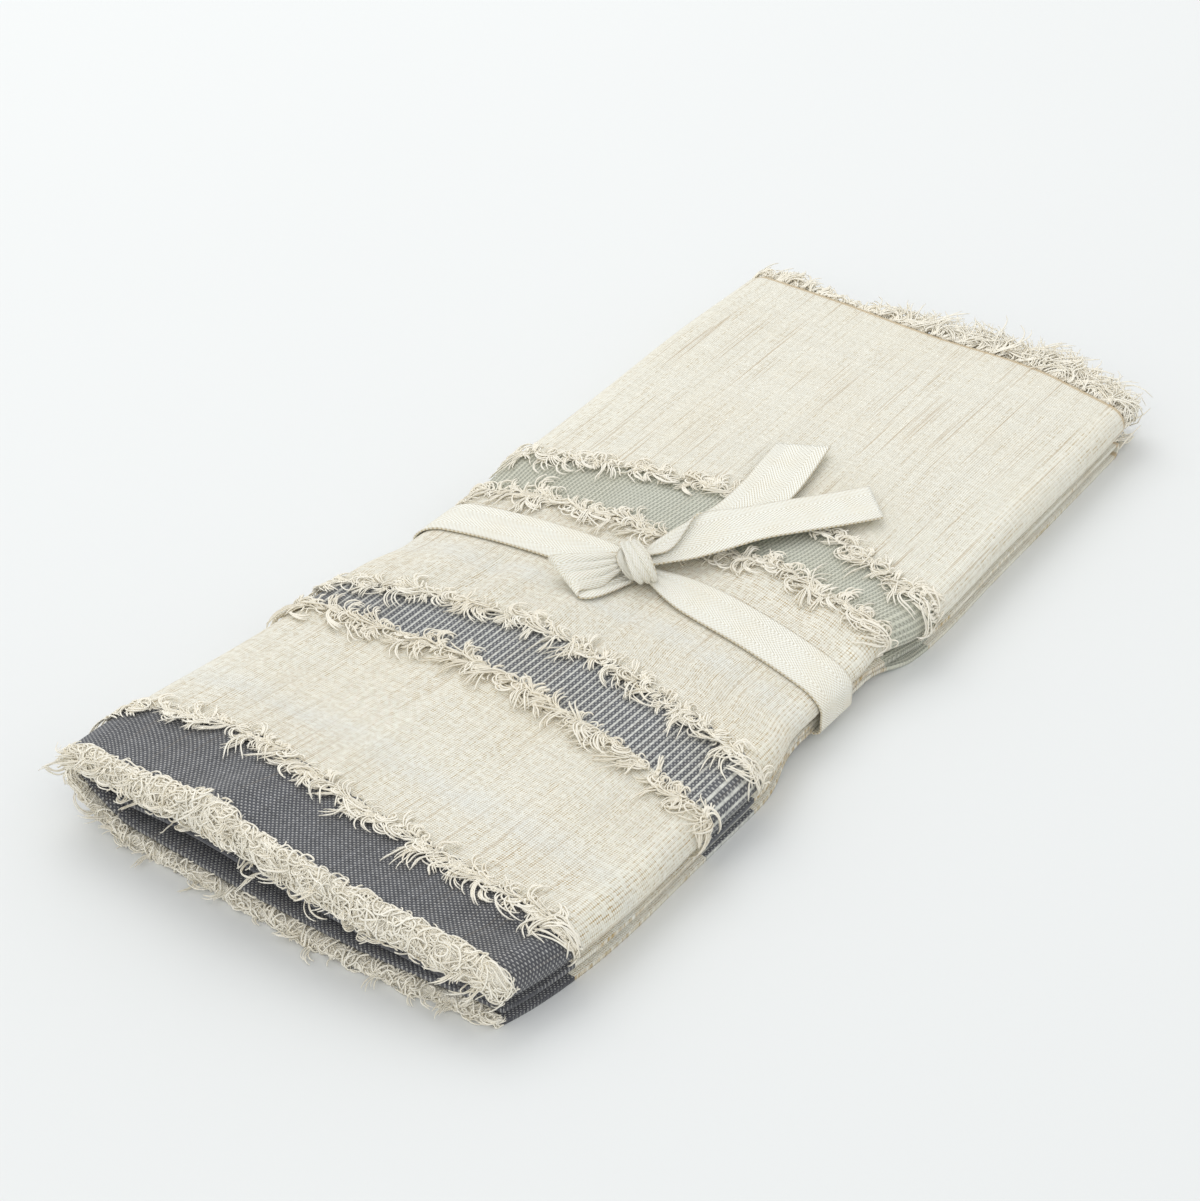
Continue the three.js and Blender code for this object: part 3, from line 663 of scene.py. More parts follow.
def tape_material(settings, groups):
    """Herringbone tape: ribs that slant one way and then the other across its width, with painted shade in
    the grooves between them and along its edges.
    """
    material, tree, shader = new_material("Herringbone tape", 0.85, 0.2)
    place = put(tree, "ShaderNodeUVMap", uv_map="tape")
    axes = put(tree, "ShaderNodeSeparateXYZ", place)
    across, along = axes, axes.node.outputs[1]
    columns = maths(tree, "FRACT", maths(tree, "DIVIDE", across, settings.chevron_width))
    zigzag = maths(tree, "ABSOLUTE", maths(tree, "SUBTRACT", columns, 0.5))
    zigzag = product(tree, zigzag, settings.rib_slope * settings.chevron_width)
    rib_at = maths(tree, "DIVIDE", maths(tree, "ADD", along, zigzag), settings.rib_pitch)
    rib = maths(tree, "ABSOLUTE", wave(tree, rib_at))
    thread = maths(tree, "ABSOLUTE", wave(tree, maths(tree, "DIVIDE", across, settings.thread_pitch)))
    height = maths(tree, "ADD", rib, product(tree, thread, 0.5))
    # Painted shade in the grooves between the ribs, deepest at their bottoms
    unshaded_share = between(tree, height, 0.1, 0.95)
    colour = blend(tree, unshaded_share, opaque("DACA9F"), opaque(settings.ivory))
    # Painted shade along the tape's two edges
    edge = maths(tree, "ABSOLUTE", maths(tree, "DIVIDE", across, TAPE_WIDTH * MM / 2))
    colour = blend(tree, between(tree, edge, 0.93, 1.0, 0, 0.35), colour, opaque("CDBB98"))
    tint(tree, shader, groups, place, colour, 60.0, 0.4)
    emboss(tree, shader, height, 0.7, 0.0004)
    return material


def shared_groups():
    """The node groups that more than one material uses, made once."""
    made = {"weave": "Plain weave", "streaks": "Slub streaks", "tint": "Cotton tint"}
    makers = {"weave": plain_weave, "streaks": streaks, "tint": cotton_tint}
    return {key: bpy.data.node_groups.get(name) or makers[key]() for key, name in made.items()}


# Making meshes


def add_grid(bm, points, uv, uv_layer):
    """Adds a grid to bm, with its corners moved to points[row, column] and its UV map to uv[row, column]."""
    rows, columns = points.shape[:2]
    size = 0.5
    made = bmesh.ops.create_grid(bm, x_segments=columns - 1, y_segments=rows - 1, size=size)
    flat_points, flat_uv = points.reshape(-1, 3), uv.reshape(-1, 2)
    for vert in made["verts"]:
        column = round((vert.co.x + size) * (columns - 1))
        row = round((vert.co.y + size) * (rows - 1))
        vert.co = flat_points[row * columns + column]
        place = flat_uv[row * columns + column]
        for loop in vert.link_loops:
            loop[uv_layer].uv = place
    return made["verts"]


def finish_piece(name, mesh, material, slot, *nodes):
    """Puts a mesh into the scene as a piece that stands for CAD nodes."""
    mesh.shade_smooth()
    piece = bpy.data.objects.new(name, mesh)
    bpy.context.scene.collection.objects.link(piece)
    mesh.materials.clear()
    mesh.materials.append(material)
    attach(piece, "root")
    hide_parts(*nodes)
    return piece


def tubes(name, batches):
    """One mesh of thin three-sided tubes, with the shade of each kept as an attribute."""
    outline = bpy.data.curves.new(name + "_outline", "CURVE")
    corners = outline.splines.new("POLY")
    corners.points.add(2)
    angles = np.radians([0, 120, 240])
    corner_places = np.stack([np.cos(angles), np.sin(angles), 0 * angles, 0 * angles + 1], axis=1)
    corners.points.foreach_set("co", corner_places.ravel())
    corners.use_cyclic_u = True
    section = bpy.data.objects.new(name + "_outline", outline)
    curves = bpy.data.curves.new(name, "CURVE")
    curves.dimensions = "3D"
    curves.bevel_mode, curves.bevel_object = "OBJECT", section
    marks = []
    for paths, radii, shades in batches:
        points = paths.shape[1]
        marks.append(np.repeat(shades, points * 3))
        for path, radius in zip(paths, radii):
            spline = curves.splines.new("POLY")
            spline.points.add(points - 1)
            spline.points.foreach_set("co", np.c_[path, np.ones(points)].ravel())
            spline.points.foreach_set("radius", radius)
    holder = bpy.data.objects.new(name, curves)
    for made in (section, holder):
        bpy.context.scene.collection.objects.link(made)
    bpy.context.view_layer.update()
    mesh = bpy.data.meshes.new_from_object(holder.evaluated_get(bpy.context.evaluated_depsgraph_get()))
    for made, data in ((holder, curves), (section, outline)):
        bpy.data.objects.remove(made)
        bpy.data.curves.remove(data)
    bm = bmesh.new()
    bm.from_mesh(mesh)
    bmesh.ops.holes_fill(bm, edges=[e for e in bm.edges if e.is_boundary], sides=3)
    bmesh.ops.recalc_face_normals(bm, faces=bm.faces)
    bm.to_mesh(mesh)
    bm.free()
    attribute = mesh.attributes.new("shade", "FLOAT", "POINT")
    attribute.data.foreach_set("value", np.concatenate(marks).astype(np.float32))
    mesh.name = name
    return mesh


# Loose yarn


def lumps(rng, rows, columns, coarse_rows, coarse_columns):
    """A field of soft random lumps from -1 to 1."""
    coarse = rng.uniform(-1, 1, (coarse_rows, coarse_columns))
    across = np.linspace(0, coarse_columns - 1, columns)
    along = np.linspace(0, coarse_rows - 1, rows)
    half = np.stack([curve(across, np.arange(coarse_columns), row) for row in coarse])
    return curve(along, np.arange(coarse_rows), half)


# A matted root: the length of its faces, its points round, and how far round it reaches to each side
CORE_STEP = 1.1
CORE_COLUMNS = 19
CORE_ARC_DEGREES = 128


def core(rng, line, away, from_s, to_s, depth, middle, half):
    """The matted root of a fringe, a lumpy roll over the cloth's end, as rows of points.

    It stands depth out of the end, and half to each side of its middle, both measured out of the cloth.
    """
    rows = round((to_s - from_s) / CORE_STEP)
    s = np.linspace(from_s, to_s, rows)[:, None]
    a = np.radians(np.linspace(-CORE_ARC_DEGREES, CORE_ARC_DEGREES, CORE_COLUMNS))[None, :]
    ends = smooth(0, 9, s - from_s) * smooth(0, 5, to_s - s)
    out = depth * (0.5 + 0.5 * ends) + 0.3 * depth * lumps(rng, rows, 1, rows // 6, 2)[:, :1]
    rough = 1 + 0.22 * lumps(rng, rows, CORE_COLUMNS, rows // 2, 9)
    rough = rough + 0.12 * lumps(rng, rows, CORE_COLUMNS, rows, 17)
    y = line_y(line, on_section(s[:, 0])[0])[:, None] + away * out * np.cos(a) * rough
    q = middle + half * (0.6 + 0.4 * ends) * np.sin(a) * (0.9 + 0.1 * rough)
    points = lay(s, y, q)
    points[..., 2] = np.maximum(points[..., 2], 0.1 * MM)
    return points


# The shortest step between a wandering strand's points, in metres
SHORTEST_STEP = 0.03 * MM


def over_core(rng, grid, count, points, thickness):
    """Paths, radii and shades of yarn that wanders over a matted root, part of it in proud loops.

    A strand with a step too short for the curve to keep is left out.
    """
    out = np.cross(np.gradient(grid, axis=0), np.gradient(grid, axis=1))
    out /= np.maximum(np.linalg.norm(out, axis=2, keepdims=True), 1e-12)
    rows, columns = grid.shape[:2]
    outward = out[:, columns // 2, 1].mean()
    out = -out if outward > 0 else out
    row_step, column_step = (np.linalg.norm(np.diff(grid, axis=n), axis=2).mean() / MM for n in (0, 1))
    run = np.linspace(0, 1, points)[None, :]

    def draw(low, high):
        return rng.uniform(low, high, (count, 1))

    step = draw(6, 13) / (points - 1)
    heading = draw(-3.2, 3.2) + draw(-5, 5) * run + draw(0.1, 0.9) * np.sin(draw(5, 11) * run + draw(0, 6.3))
    row = draw(0, rows - 1) + np.cumsum(np.cos(heading) * step / row_step, axis=1)
    column = draw(2, columns - 3) + np.cumsum(np.sin(heading) * step / column_step, axis=1)
    row, column = np.clip(row, 0, rows - 1.01), np.clip(column, 0.5, columns - 1.51)
    i, j = row.astype(int), column.astype(int)
    u, v = (row - i)[..., None], (column - j)[..., None]

    def read(field):
        low = mix(field[i, j], field[i, j + 1], v)
        return mix(low, mix(field[i + 1, j], field[i + 1, j + 1], v), u)

    proud = thickness * draw(0.1, 0.9) + draw(-0.8, 1.4).clip(0) * np.sin(math.pi * run)
    paths = read(grid) + read(out) * (proud * MM)[..., None]
    paths[..., 2] = np.maximum(paths[..., 2], thickness * MM * 0.6)
    radii = thickness / 2 * MM * draw(0.8, 1.2) * np.ones_like(run)
    shades = np.clip(rng.normal(0.35, 0.3, count), 0, 1)
    sound = np.linalg.norm(np.diff(paths, axis=1), axis=2).min(axis=1) > SHORTEST_STEP
    return paths[sound], radii[sound], shades[sound]


def add_cores(mesh, grids):
    """Joins matted roots to a mesh of loose yarn."""
    if not grids:
        return
    bm = bmesh.new()
    bm.from_mesh(mesh)
    shade = bm.verts.layers.float["shade"]
    matted = bm.verts.layers.float.new("matted")
    layer = bm.loops.layers.uv.new("core")
    for points in grids:
        for vert in add_grid(bm, points, points[..., :2], layer):
            vert[shade], vert[matted] = 0.5, 1
    bm.loops.layers.uv.remove(layer)
    bm.to_mesh(mesh)
    bm.free()


def grow(rng, tufts, fibres, points, thickness, loose=1.0, floor=None):
    """Paths, radii and shades of loose yarn, in tufts whose fibres leave the root side by side.

    A tuft has its root s, y and q, its way along Y, its lean towards +s, its length, the angle that it turns
    through, the size, number and phase of its waves, and its arch and climb out of the cloth. loose is how
    far its fibres stray from each other, and floor is the lowest q.
    """
    count = len(tufts["s"]) * fibres
    one = {key: np.repeat(np.asarray(value, float), fibres)[:, None] for key, value in tufts.items()}
    run = np.linspace(0, 1, points)[None, :]

    def shake(amount):
        return rng.normal(0, amount, (count, 1))

    length = one["length"] * rng.uniform(1 - 0.4 * loose, 1 + 0.1 * loose, (count, 1))
    waves = one["wave"] * np.sin(2 * math.pi * one["waves"] * run + one["phase"] + shake(0.5 * loose))
    turned = one["turn"] * rng.uniform(1 - 0.3 * loose, 1 + 0.2 * loose, (count, 1))
    heading = one["lean"] + shake(0.2 * loose) + turned * run**1.3 + waves
    step = length / (points - 1)
    ahead = np.cumsum(np.cos(heading), axis=1) * step
    aside = np.cumsum(np.sin(heading), axis=1) * step
    up = np.abs(shake(0.35)) * run + one["arch"] * np.sin(math.pi * run) + one["climb"] * length * run
    s = one["s"] + shake(0.6) + aside - aside[:, :1]
    y = one["y"] + shake(0.25) + one["away"] * (ahead - ahead[:, :1])
    q = one["q"] + up
    if floor is not None:
        q = np.maximum(q, floor)
    paths = lay(s, y, q)
    paths[..., 2] = np.maximum(paths[..., 2], thickness * MM * rng.uniform(0.5, 1.4, (count, 1)))
    radii = thickness / 2 * MM * np.where(run > 0.9, 0.6, 1.0) * rng.uniform(0.7, 1.15, (count, 1))
    shades = np.repeat(rng.normal(0.4, 0.25, len(tufts["s"])), fibres) + rng.normal(0, 0.15, count)
    return paths, radii, np.clip(shades, 0, 1)


def tuft_row(rng, count, s_from, s_to, clump=0.0, **ranges):
    """Tufts spread unevenly from s_from to s_to, with each other measure drawn from its low and high."""
    spread = (np.arange(count) + rng.uniform(0, 1, count)) / count
    for times in (8, 19):
        spread = spread + clump * 8 / times * np.sin(2 * math.pi * (times * spread + times))
    made = {"s": mix(s_from, s_to, spread)}
    for key, (low, high) in ranges.items():
        made[key] = rng.uniform(low, high, count)
    return made


class TOWEL_PG_cloth(bpy.types.PropertyGroup):
    """Sizes and colours of the towel's cloth."""

    thickness: FloatProperty(
        name="Thickness",
        description="Thickness of one ply",
        default=0.0015,
        unit="LENGTH",
    )
    warp_pitch: FloatProperty(
        name="Warp pitch",
        description="From one lengthwise thread to the next",
        default=0.00078,
        precision=5,
        unit="LENGTH",
    )
    weft_pitch: FloatProperty(
        name="Weft pitch",
        description="From one crosswise thread to the next",
        default=0.00076,
        precision=5,
        unit="LENGTH",
    )
    stripe_pitch: FloatProperty(
        name="Stripe pitch",
        description="From one white stripe to the next in the mid grey band",
        default=0.0023,
        precision=5,
        unit="LENGTH",
    )
    rib_pitch: FloatProperty(
        name="Rib pitch",
        description="From one rib to the next in the pale band",
        default=0.0015,
        precision=5,
        unit="LENGTH",
    )
    ecru: FloatVectorProperty(
        name="Ecru",
        description="Undyed cotton",
        subtype="COLOR",
        default=srgb("F3F0E2"),
    )
    pale_thread: FloatVectorProperty(
        name="Pale thread",
        description="Pale lengthwise thread of the grey bands",
        subtype="COLOR",
        default=srgb("B8B8B6"),
    )
    dark_grey: FloatVectorProperty(
        name="Dark grey",
        description="Band at the near end",
        subtype="COLOR",
        default=srgb("65666B"),
    )
    mid_grey: FloatVectorProperty(
        name="Mid grey",
        description="Striped band",
        subtype="COLOR",
        default=srgb("6E7074"),
    )
    stripe: FloatVectorProperty(
        name="Stripe",
        description="White stripes of the mid grey band",
        subtype="COLOR",
        default=srgb("E2E2DA"),
    )
    grey_green: FloatVectorProperty(
        name="Grey-green",
        description="Pale band past the tape",
        subtype="COLOR",
        default=srgb("B4B4A3"),
    )
    grey_green_rib: FloatVectorProperty(
        name="Grey-green rib",
        description="Ribs of the pale band",
        subtype="COLOR",
        default=srgb("DEDECE"),
    )


class TOWEL_PG_yarn(bpy.types.PropertyGroup):
    """Sizes and colours of the loose yarn."""

    thickness: FloatProperty(
        name="Thickness",
        description="Thickness of a loose strand",
        default=0.00056,
        precision=5,
        unit="LENGTH",
    )
    white: FloatVectorProperty(
        name="White",
        description="Bleached strands",
        subtype="COLOR",
        default=srgb("FFFAEC"),
    )
    ecru: FloatVectorProperty(
        name="Ecru",
        description="Undyed strands",
        subtype="COLOR",
        default=srgb("FAF3E2"),
    )
    seed: IntProperty(name="Seed", description="Draws the strands' places", default=7)


class TOWEL_PG_tape(bpy.types.PropertyGroup):
    """Sizes and colours of the tape."""

    thickness: FloatProperty(
        name="Thickness",
        description="Thickness of the tape",
        default=0.0006,
        precision=5,
        unit="LENGTH",
    )
    rib_pitch: FloatProperty(
        name="Rib pitch",
        description="From one slanted rib to the next",
        default=0.00165,
        precision=5,
        unit="LENGTH",
    )
    rib_slope: FloatProperty(
        name="Rib slope",
        description="How steeply the ribs run along the tape",
        default=1.7,
    )
    thread_pitch: FloatProperty(
        name="Thread pitch",
        description="From one lengthwise thread to the next",
        default=0.0006,
        precision=5,
        unit="LENGTH",
    )
    chevron_width: FloatProperty(
        name="Chevron width",
        description="Width of one whole chevron",
        default=0.009,
        precision=5,
        unit="LENGTH",
    )
    ivory: FloatVectorProperty(
        name="Ivory",
        description="Colour of the tape",
        subtype="COLOR",
        default=srgb("FFFEF4"),
    )


class TOWEL_PG_stage(bpy.types.PropertyGroup):
    """The floor and the light."""

    floor_colour: FloatVectorProperty(
        name="Floor",
        description="Colour of the floor",
        subtype="COLOR",
        default=(0.80, 0.81, 0.80),
    )
    sky: FloatProperty(name="Sky", description="Strength of the light from all round", default=0.89)
    key: FloatProperty(name="Key", description="Power of the large soft light", default=9.6)


class TOWEL_OT_stage(bpy.types.Operator):
    """Makes the camera, the soft light and the pale floor"""

    bl_idname = "towel.stage"
    bl_label = "Stage"

    def execute(self, context):
        settings = context.scene.towel_stage
        aim_camera(context)
        light_room(context, settings)
        mesh = bpy.data.meshes.new("floor")
        bm = bmesh.new()
        bmesh.ops.create_grid(bm, x_segments=1, y_segments=1, size=6)
        bm.to_mesh(mesh)
        bm.free()
        floor = bpy.data.objects.new("floor", mesh)
        context.scene.collection.objects.link(floor)
        material, tree, shader = new_material("Pale paper", 0.9, 0.0)
        place = put(tree, "ShaderNodeTexCoord", out=3)
        colour = (*settings.floor_colour, 1)
        darker = tuple(c * 0.985 for c in settings.floor_colour)
        tree.links.new(blend(tree, noise(tree, place, 3), colour, (*darker, 1)), shader.inputs["Base Color"])
        mesh.materials.append(material)
        return {"FINISHED"}


# The camera that the pack's corners and edges in the photograph give
CAMERA_PLACE = (422.04 * MM, -616.10 * MM, 545.58 * MM)
CAMERA_YAW, CAMERA_DIP, CAMERA_ROLL = math.radians(-35.95), math.radians(35.92), math.radians(-0.28)
CAMERA_FOCAL_PX = 2771
IMAGE_HEIGHT_PX = 1201
SENSOR = 36.0


def aim_camera(context):
    """The camera where the photograph was taken from."""
    flat = math.cos(CAMERA_DIP)
    forward = Vector((math.sin(CAMERA_YAW) * flat, math.cos(CAMERA_YAW) * flat, -math.sin(CAMERA_DIP)))
    level = Vector((math.cos(CAMERA_YAW), -math.sin(CAMERA_YAW), 0))
    down = forward.cross(level)
    right = level * math.cos(CAMERA_ROLL) + down * math.sin(CAMERA_ROLL)
    down = down * math.cos(CAMERA_ROLL) - level * math.sin(CAMERA_ROLL)
    data = bpy.data.cameras.new("camera")
    data.sensor_width = SENSOR
    data.lens = SENSOR * CAMERA_FOCAL_PX / IMAGE_HEIGHT_PX
    data.clip_start, data.clip_end = 0.01, 20
    camera = bpy.data.objects.new("camera", data)
    context.scene.collection.objects.link(camera)
    turned = Matrix((right, -down, -forward)).transposed().to_4x4()
    turned.translation = CAMERA_PLACE
    camera.matrix_world = turned
    context.scene.camera = camera


def light_room(context, settings):
    """A white room with one large soft light from the far left."""
    context.scene.view_settings.view_transform = "Standard"
    world = bpy.data.worlds.new("room")
    world.use_nodes = True
    sky = world.node_tree.nodes["Background"]
    sky.inputs["Color"].default_value = (0.97, 0.985, 1.0, 1)
    sky.inputs["Strength"].default_value = settings.sky
    context.scene.world = world
    for name, place, size, power in (
        ("key", (-0.9, 0.5, 1.5), 1.3, settings.key),
        ("fill", (0.3, -1.4, 1.3), 1.2, settings.key * 0.3),
    ):
        data = bpy.data.lights.new(name, "AREA")
        data.size, data.energy = size, power
        lamp = bpy.data.objects.new(name, data)
        lamp.location = place
        lamp.rotation_euler = (-Vector(place)).to_track_quat("-Z", "Y").to_euler()
        context.scene.collection.objects.link(lamp)


def spaced(*runs):
    """Places along a line: each run has its start, its end and about how far apart its places lie."""
    parts = [np.linspace(a, b, max(2, round((b - a) / step) + 1))[:-1] for a, b, step in runs]
    return np.concatenate([*parts, [runs[-1][1]]])


def cloth_points():
    """The cloth's outer face as rows of points, and the UV place of each in metres."""
    s = spaced((0, LEFT_FOLD_S, 6), (LEFT_FOLD_S, TOP_S, 1.6), (TOP_S, RIGHT_FOLD_S, 2.2),
               (RIGHT_FOLD_S, INNER_S, 1.3), (INNER_S, CLOTH_WIDTH, 7))
    x = on_section(s)[0]
    outer = spaced((0, 30, 1.6), (30, FAR_T, 2.3))
    inner = spaced((0, 60, 3), (60, FAR_T, 12))[::-1]
    outer_y, inner_y = cloth_y(outer, x), cloth_y(inner, x)
    far_y = line_y(FAR_END, x)
    rows = [(y, SKIN, t) for y, t in zip(outer_y, outer)]
    for a in np.linspace(0, math.pi, 7)[1:-1]:
        rows.append((far_y + SKIN * math.sin(a), SKIN * math.cos(a), FAR_T + HALF_PITCH * a))
    rows += [(y, -SKIN, CLOTH_LENGTH - t) for y, t in zip(inner_y, inner)]
    points = np.stack([lay(s, y, q) for y, q, _ in rows])
    uv = np.stack([np.stack([s, np.full_like(s, t)], 1) for _, _, t in rows]) * MM
    return points, uv


class TOWEL_OT_cloth(bpy.types.Operator):
    """Makes the folded cloth"""

    bl_idname = "towel.cloth"
    bl_label = "Cloth"

    def execute(self, context):
        settings = context.scene.towel_cloth
        points, uv = cloth_points()
        bm = bmesh.new()
        add_grid(bm, points, uv, bm.loops.layers.uv.new("cloth"))
        mesh = bpy.data.meshes.new("folded_cloth")
        bm.to_mesh(mesh)
        bm.free()
        material = cloth_material(settings, shared_groups())
        piece = finish_piece("folded_cloth", mesh, material, "cloth", "towel")
        solid = piece.modifiers.new("Thickness", "SOLIDIFY")
        solid.thickness, solid.offset = settings.thickness, -1
        return {"FINISHED"}


def on_line(line, tufts):
    """Gives each tuft the y of a line across the cloth, at its own place."""
    tufts["y"] = line_y(line, on_section(tufts["s"])[0])
    return tufts


# Each ragged line: its piece and node, its y, the share of its yarn on the near side, and its lean and yarn
LINES = (
    ("frayed_line_1", "ragged_line_1", RAGGED[0], 0.85, -0.6, "White yarn"),
    ("frayed_line_2", "ragged_line_2", RAGGED[1], 0.85, -0.5, "Ecru yarn"),
    ("frayed_line_3", "ragged_line_3", RAGGED[2], 0.65, -0.4, "White yarn"),
    ("frayed_line_4", "ragged_line_4", RAGGED[3], 0.7, -0.7, "White yarn"),
    ("frayed_line_5", "ragged_line_5", RAGGED[4], 0.55, -0.3, "White yarn"),
)
LINE_FROM_S = TOP_S - 0.62 * math.pi * LEFT_RADIUS
LINE_TO_S = RIGHT_FOLD_S + 0.72 * math.pi * RIGHT_RADIUS
# Its tufts: how many, their fibres, the points of each, how thick and loose they are, and how they lie
LINE_TUFTS = (
    (230, 1, 10, 1.25, 1, {"length": (4, 11), "turn": (-4, 4), "wave": (0, 0.6), "arch": (0.1, 1.1)}),
    (96, 4, 14, 1.2, 0.7, {"length": (8, 16), "turn": (-5, 5), "wave": (0, 0.5), "arch": (0.3, 1.8)}),
    (70, 5, 10, 1.15, 0.6, {"length": (4, 10), "turn": (-1.5, 1.5), "wave": (0, 0.35), "arch": (0.2, 0.7)}),
)
# How much its tufts draw together, and how near to the cloth its yarn may come
LINE_CLUMP = 0.008
LINE_FLOOR = SKIN + 0.25


class TOWEL_OT_lines(bpy.types.Operator):
    """Makes the loose yarn along the edges of the bands"""

    bl_idname = "towel.lines"
    bl_label = "Frayed lines"

    def execute(self, context):
        settings = context.scene.towel_yarn
        groups = shared_groups()
        thickness = settings.thickness / MM
        for number, (name, node, line, near_share, lean, kind) in enumerate(LINES):
            rng = np.random.default_rng(settings.seed + number)
            batches = []
            for count, fibres, points, thick, loose, ranges in LINE_TUFTS:
                tufts = tuft_row(
                    rng,
                    count,
                    LINE_FROM_S,
                    LINE_TO_S,
                    LINE_CLUMP,
                    lean=(lean - 0.8, lean + 0.8),
                    waves=(0.5, 1.6),
                    phase=(0, 6.3),
                    q=(SKIN + 0.3, SKIN + 0.8),
                    climb=(0, 0.04),
                    **ranges,
                )
                tufts = on_line(line, tufts)
                to_near = rng.uniform(0, 1, count) < near_share
                tufts["away"] = np.where(to_near, -1, 1)
                tufts["length"] = np.where(to_near, 1, 0.6) * tufts["length"]
                tufts["y"] = tufts["y"] + rng.uniform(-0.9, 0.9, count)
                batches.append(grow(rng, tufts, fibres, points, thick * thickness, loose, LINE_FLOOR))
            finish_piece(name, tubes(name, batches), yarn(settings, kind, groups), "yarn", node)
        return {"FINISHED"}


# Where the fringes start and end along the cloth's section
TOP_FROM_S = TOP_S - 0.5 * math.pi * LEFT_RADIUS
INNER_FROM_S = RIGHT_FOLD_S + 9
LOW_TO_S = LEFT_FOLD_S + 0.45 * math.pi * LEFT_RADIUS

# How their yarn lies: the low and high of a tuft's lean, length, turn, waves and arch
FELT = {"lean": (-1.2, 1.2), "length": (3.5, 7.5), "turn": (-5, 5), "wave": (0, 0.5), "arch": (-0.5, 0.7)}
CURLS = {"lean": (-1, 1), "length": (7, 13), "turn": (-7, 7), "wave": (0, 0.4), "arch": (-0.8, 1.2)}
WISPS = {"lean": (-1.4, 0.2), "length": (7, 14), "turn": (-5, 5), "wave": (0.1, 0.4), "arch": (-1, 1)}
LOCKS = {
    "lean": (-0.35, 0.5),
    "length": (0.85, 1.3),
    "turn": (-2.2, 2.2),
    "wave": (0.1, 0.6),
    "arch": (-0.4, 0.9),
}
# The far locks' lengths by x: fuzz on the left, almost none beside it, and long even strands on the right
FAR_LOCK_X = (-85, -60, -35, -10, 20, 60, 86)
FAR_LOCK = (11, 10, 4.5, 15, 19, 19, 16)

# Out of the doubled panel's middle, the low and high of the places where tufts have their roots
OUTER, EDGE, OVER = (SKIN - 0.2, SKIN + 0.5), (-SKIN - 1.4, SKIN), (-0.7 * SKIN, 0.9 * SKIN)
INSIDE, FOOT = (-SKIN, -0.5), (-0.4, SKIN)

# Each fringe: its node, its way along Y, the strands that wander over its matted roots, and those roots:
# start and end, how far they stand out, middle and half height. Then its tufts: how many, their fibres, the
# points of each, how loose they are, start and end along the section, roots, climb, and how they lie.
FRINGES = {
    "near_upper_fringe": ("fringe_near_upper", -1, 820, ((TOP_FROM_S, INNER_FROM_S, 3.0, -0.9, 4.9),), (
        (230, 1, 11, 1, TOP_FROM_S, INNER_FROM_S, EDGE, (-0.2, 0.3), FELT),
        (260, 1, 11, 1, TOP_FROM_S, INNER_FROM_S, OUTER, (-0.1, 0.12), FELT),
        (90, 4, 14, 0.5, TOP_FROM_S, INNER_FROM_S, EDGE, (-0.2, 0.2), CURLS),
        (70, 1, 11, 1, INNER_FROM_S, CLOTH_WIDTH, INSIDE, (-0.3, 0.2), FELT),
        (20, 3, 14, 0.5, INNER_FROM_S, CLOTH_WIDTH, INSIDE, (-0.2, 0.2), CURLS),
        (26, 3, 14, 0.5, TOP_FROM_S, TOP_S + 12, EDGE, (-0.2, 0.5), WISPS),
    )),
    "near_lower_fringe": ("fringe_near_lower", -1, 420, ((0, LOW_TO_S, 2.4, 1.5, 2.0),), (
        (230, 1, 11, 1, 0, LOW_TO_S, FOOT, (-0.2, 0.1), FELT),
        (70, 4, 14, 0.5, 0, LOW_TO_S, FOOT, (-0.15, 0.1), CURLS),
    )),
    "far_upper_fringe": ("fringe_far_upper", 1, 0, (), (
        (460, 4, 9, 1, TOP_FROM_S, INNER_FROM_S, OVER, (-0.12, 0.12), LOCKS),
        (120, 4, 9, 1, INNER_FROM_S, CLOTH_WIDTH, OVER, (-0.12, 0.14), LOCKS),
    )),
    "far_lower_fringe": ("fringe_far_lower", 1, 0, (), (
        (140, 4, 9, 1, 0, LOW_TO_S, OVER, (-0.14, 0.12), LOCKS),
    )),
}
# The points of a wandering strand, and its thickness next to the other yarn's
WANDER_POINTS, WANDER_THICK = 13, 1.15


class TOWEL_OT_fringes(bpy.types.Operator):
    """Makes the fringes at the two ends"""

    bl_idname = "towel.fringes"
    bl_label = "Fringes"

    def execute(self, context):
        settings = context.scene.towel_yarn
        groups = shared_groups()
        rng = np.random.default_rng(settings.seed + 100)
        thickness = settings.thickness / MM
        for name, (node, away, wanderers, cores, rows) in FRINGES.items():
            line = NEAR_END if away < 0 else FAR_END
            batches = []
            for count, fibres, points, loose, from_s, to_s, q, climb, ranges in rows:
                tufts = tuft_row(
                    rng, count, from_s, to_s, q=q, climb=climb, waves=(0.5, 1.8), phase=(0, 6.3), **ranges
                )
                tufts = on_line(line, tufts)
                tufts["away"] = np.full(count, away)
                if away > 0:
                    lock = curve(on_section(tufts["s"])[0], FAR_LOCK_X, FAR_LOCK)
                    tufts["length"] = tufts["length"] * lock
                    tufts["y"] = tufts["y"] + SKIN - 0.8
                else:
                    on_face = np.abs(tufts["q"]) > SKIN - 0.5
                    tufts["y"] = tufts["y"] + rng.uniform(-0.4, 1.6, count) * on_face
                batches.append(grow(rng, tufts, fibres, points, thickness, loose))
            grids = [core(rng, line, away, *ends) for ends in cores]
            for grid in grids:
                batches.append(over_core(rng, grid, wanderers, WANDER_POINTS, thickness * WANDER_THICK))
            mesh = tubes(name, batches)
            add_cores(mesh, grids)
            finish_piece(name, mesh, yarn(settings, "White yarn", groups), "yarn", node)
        return {"FINISHED"}


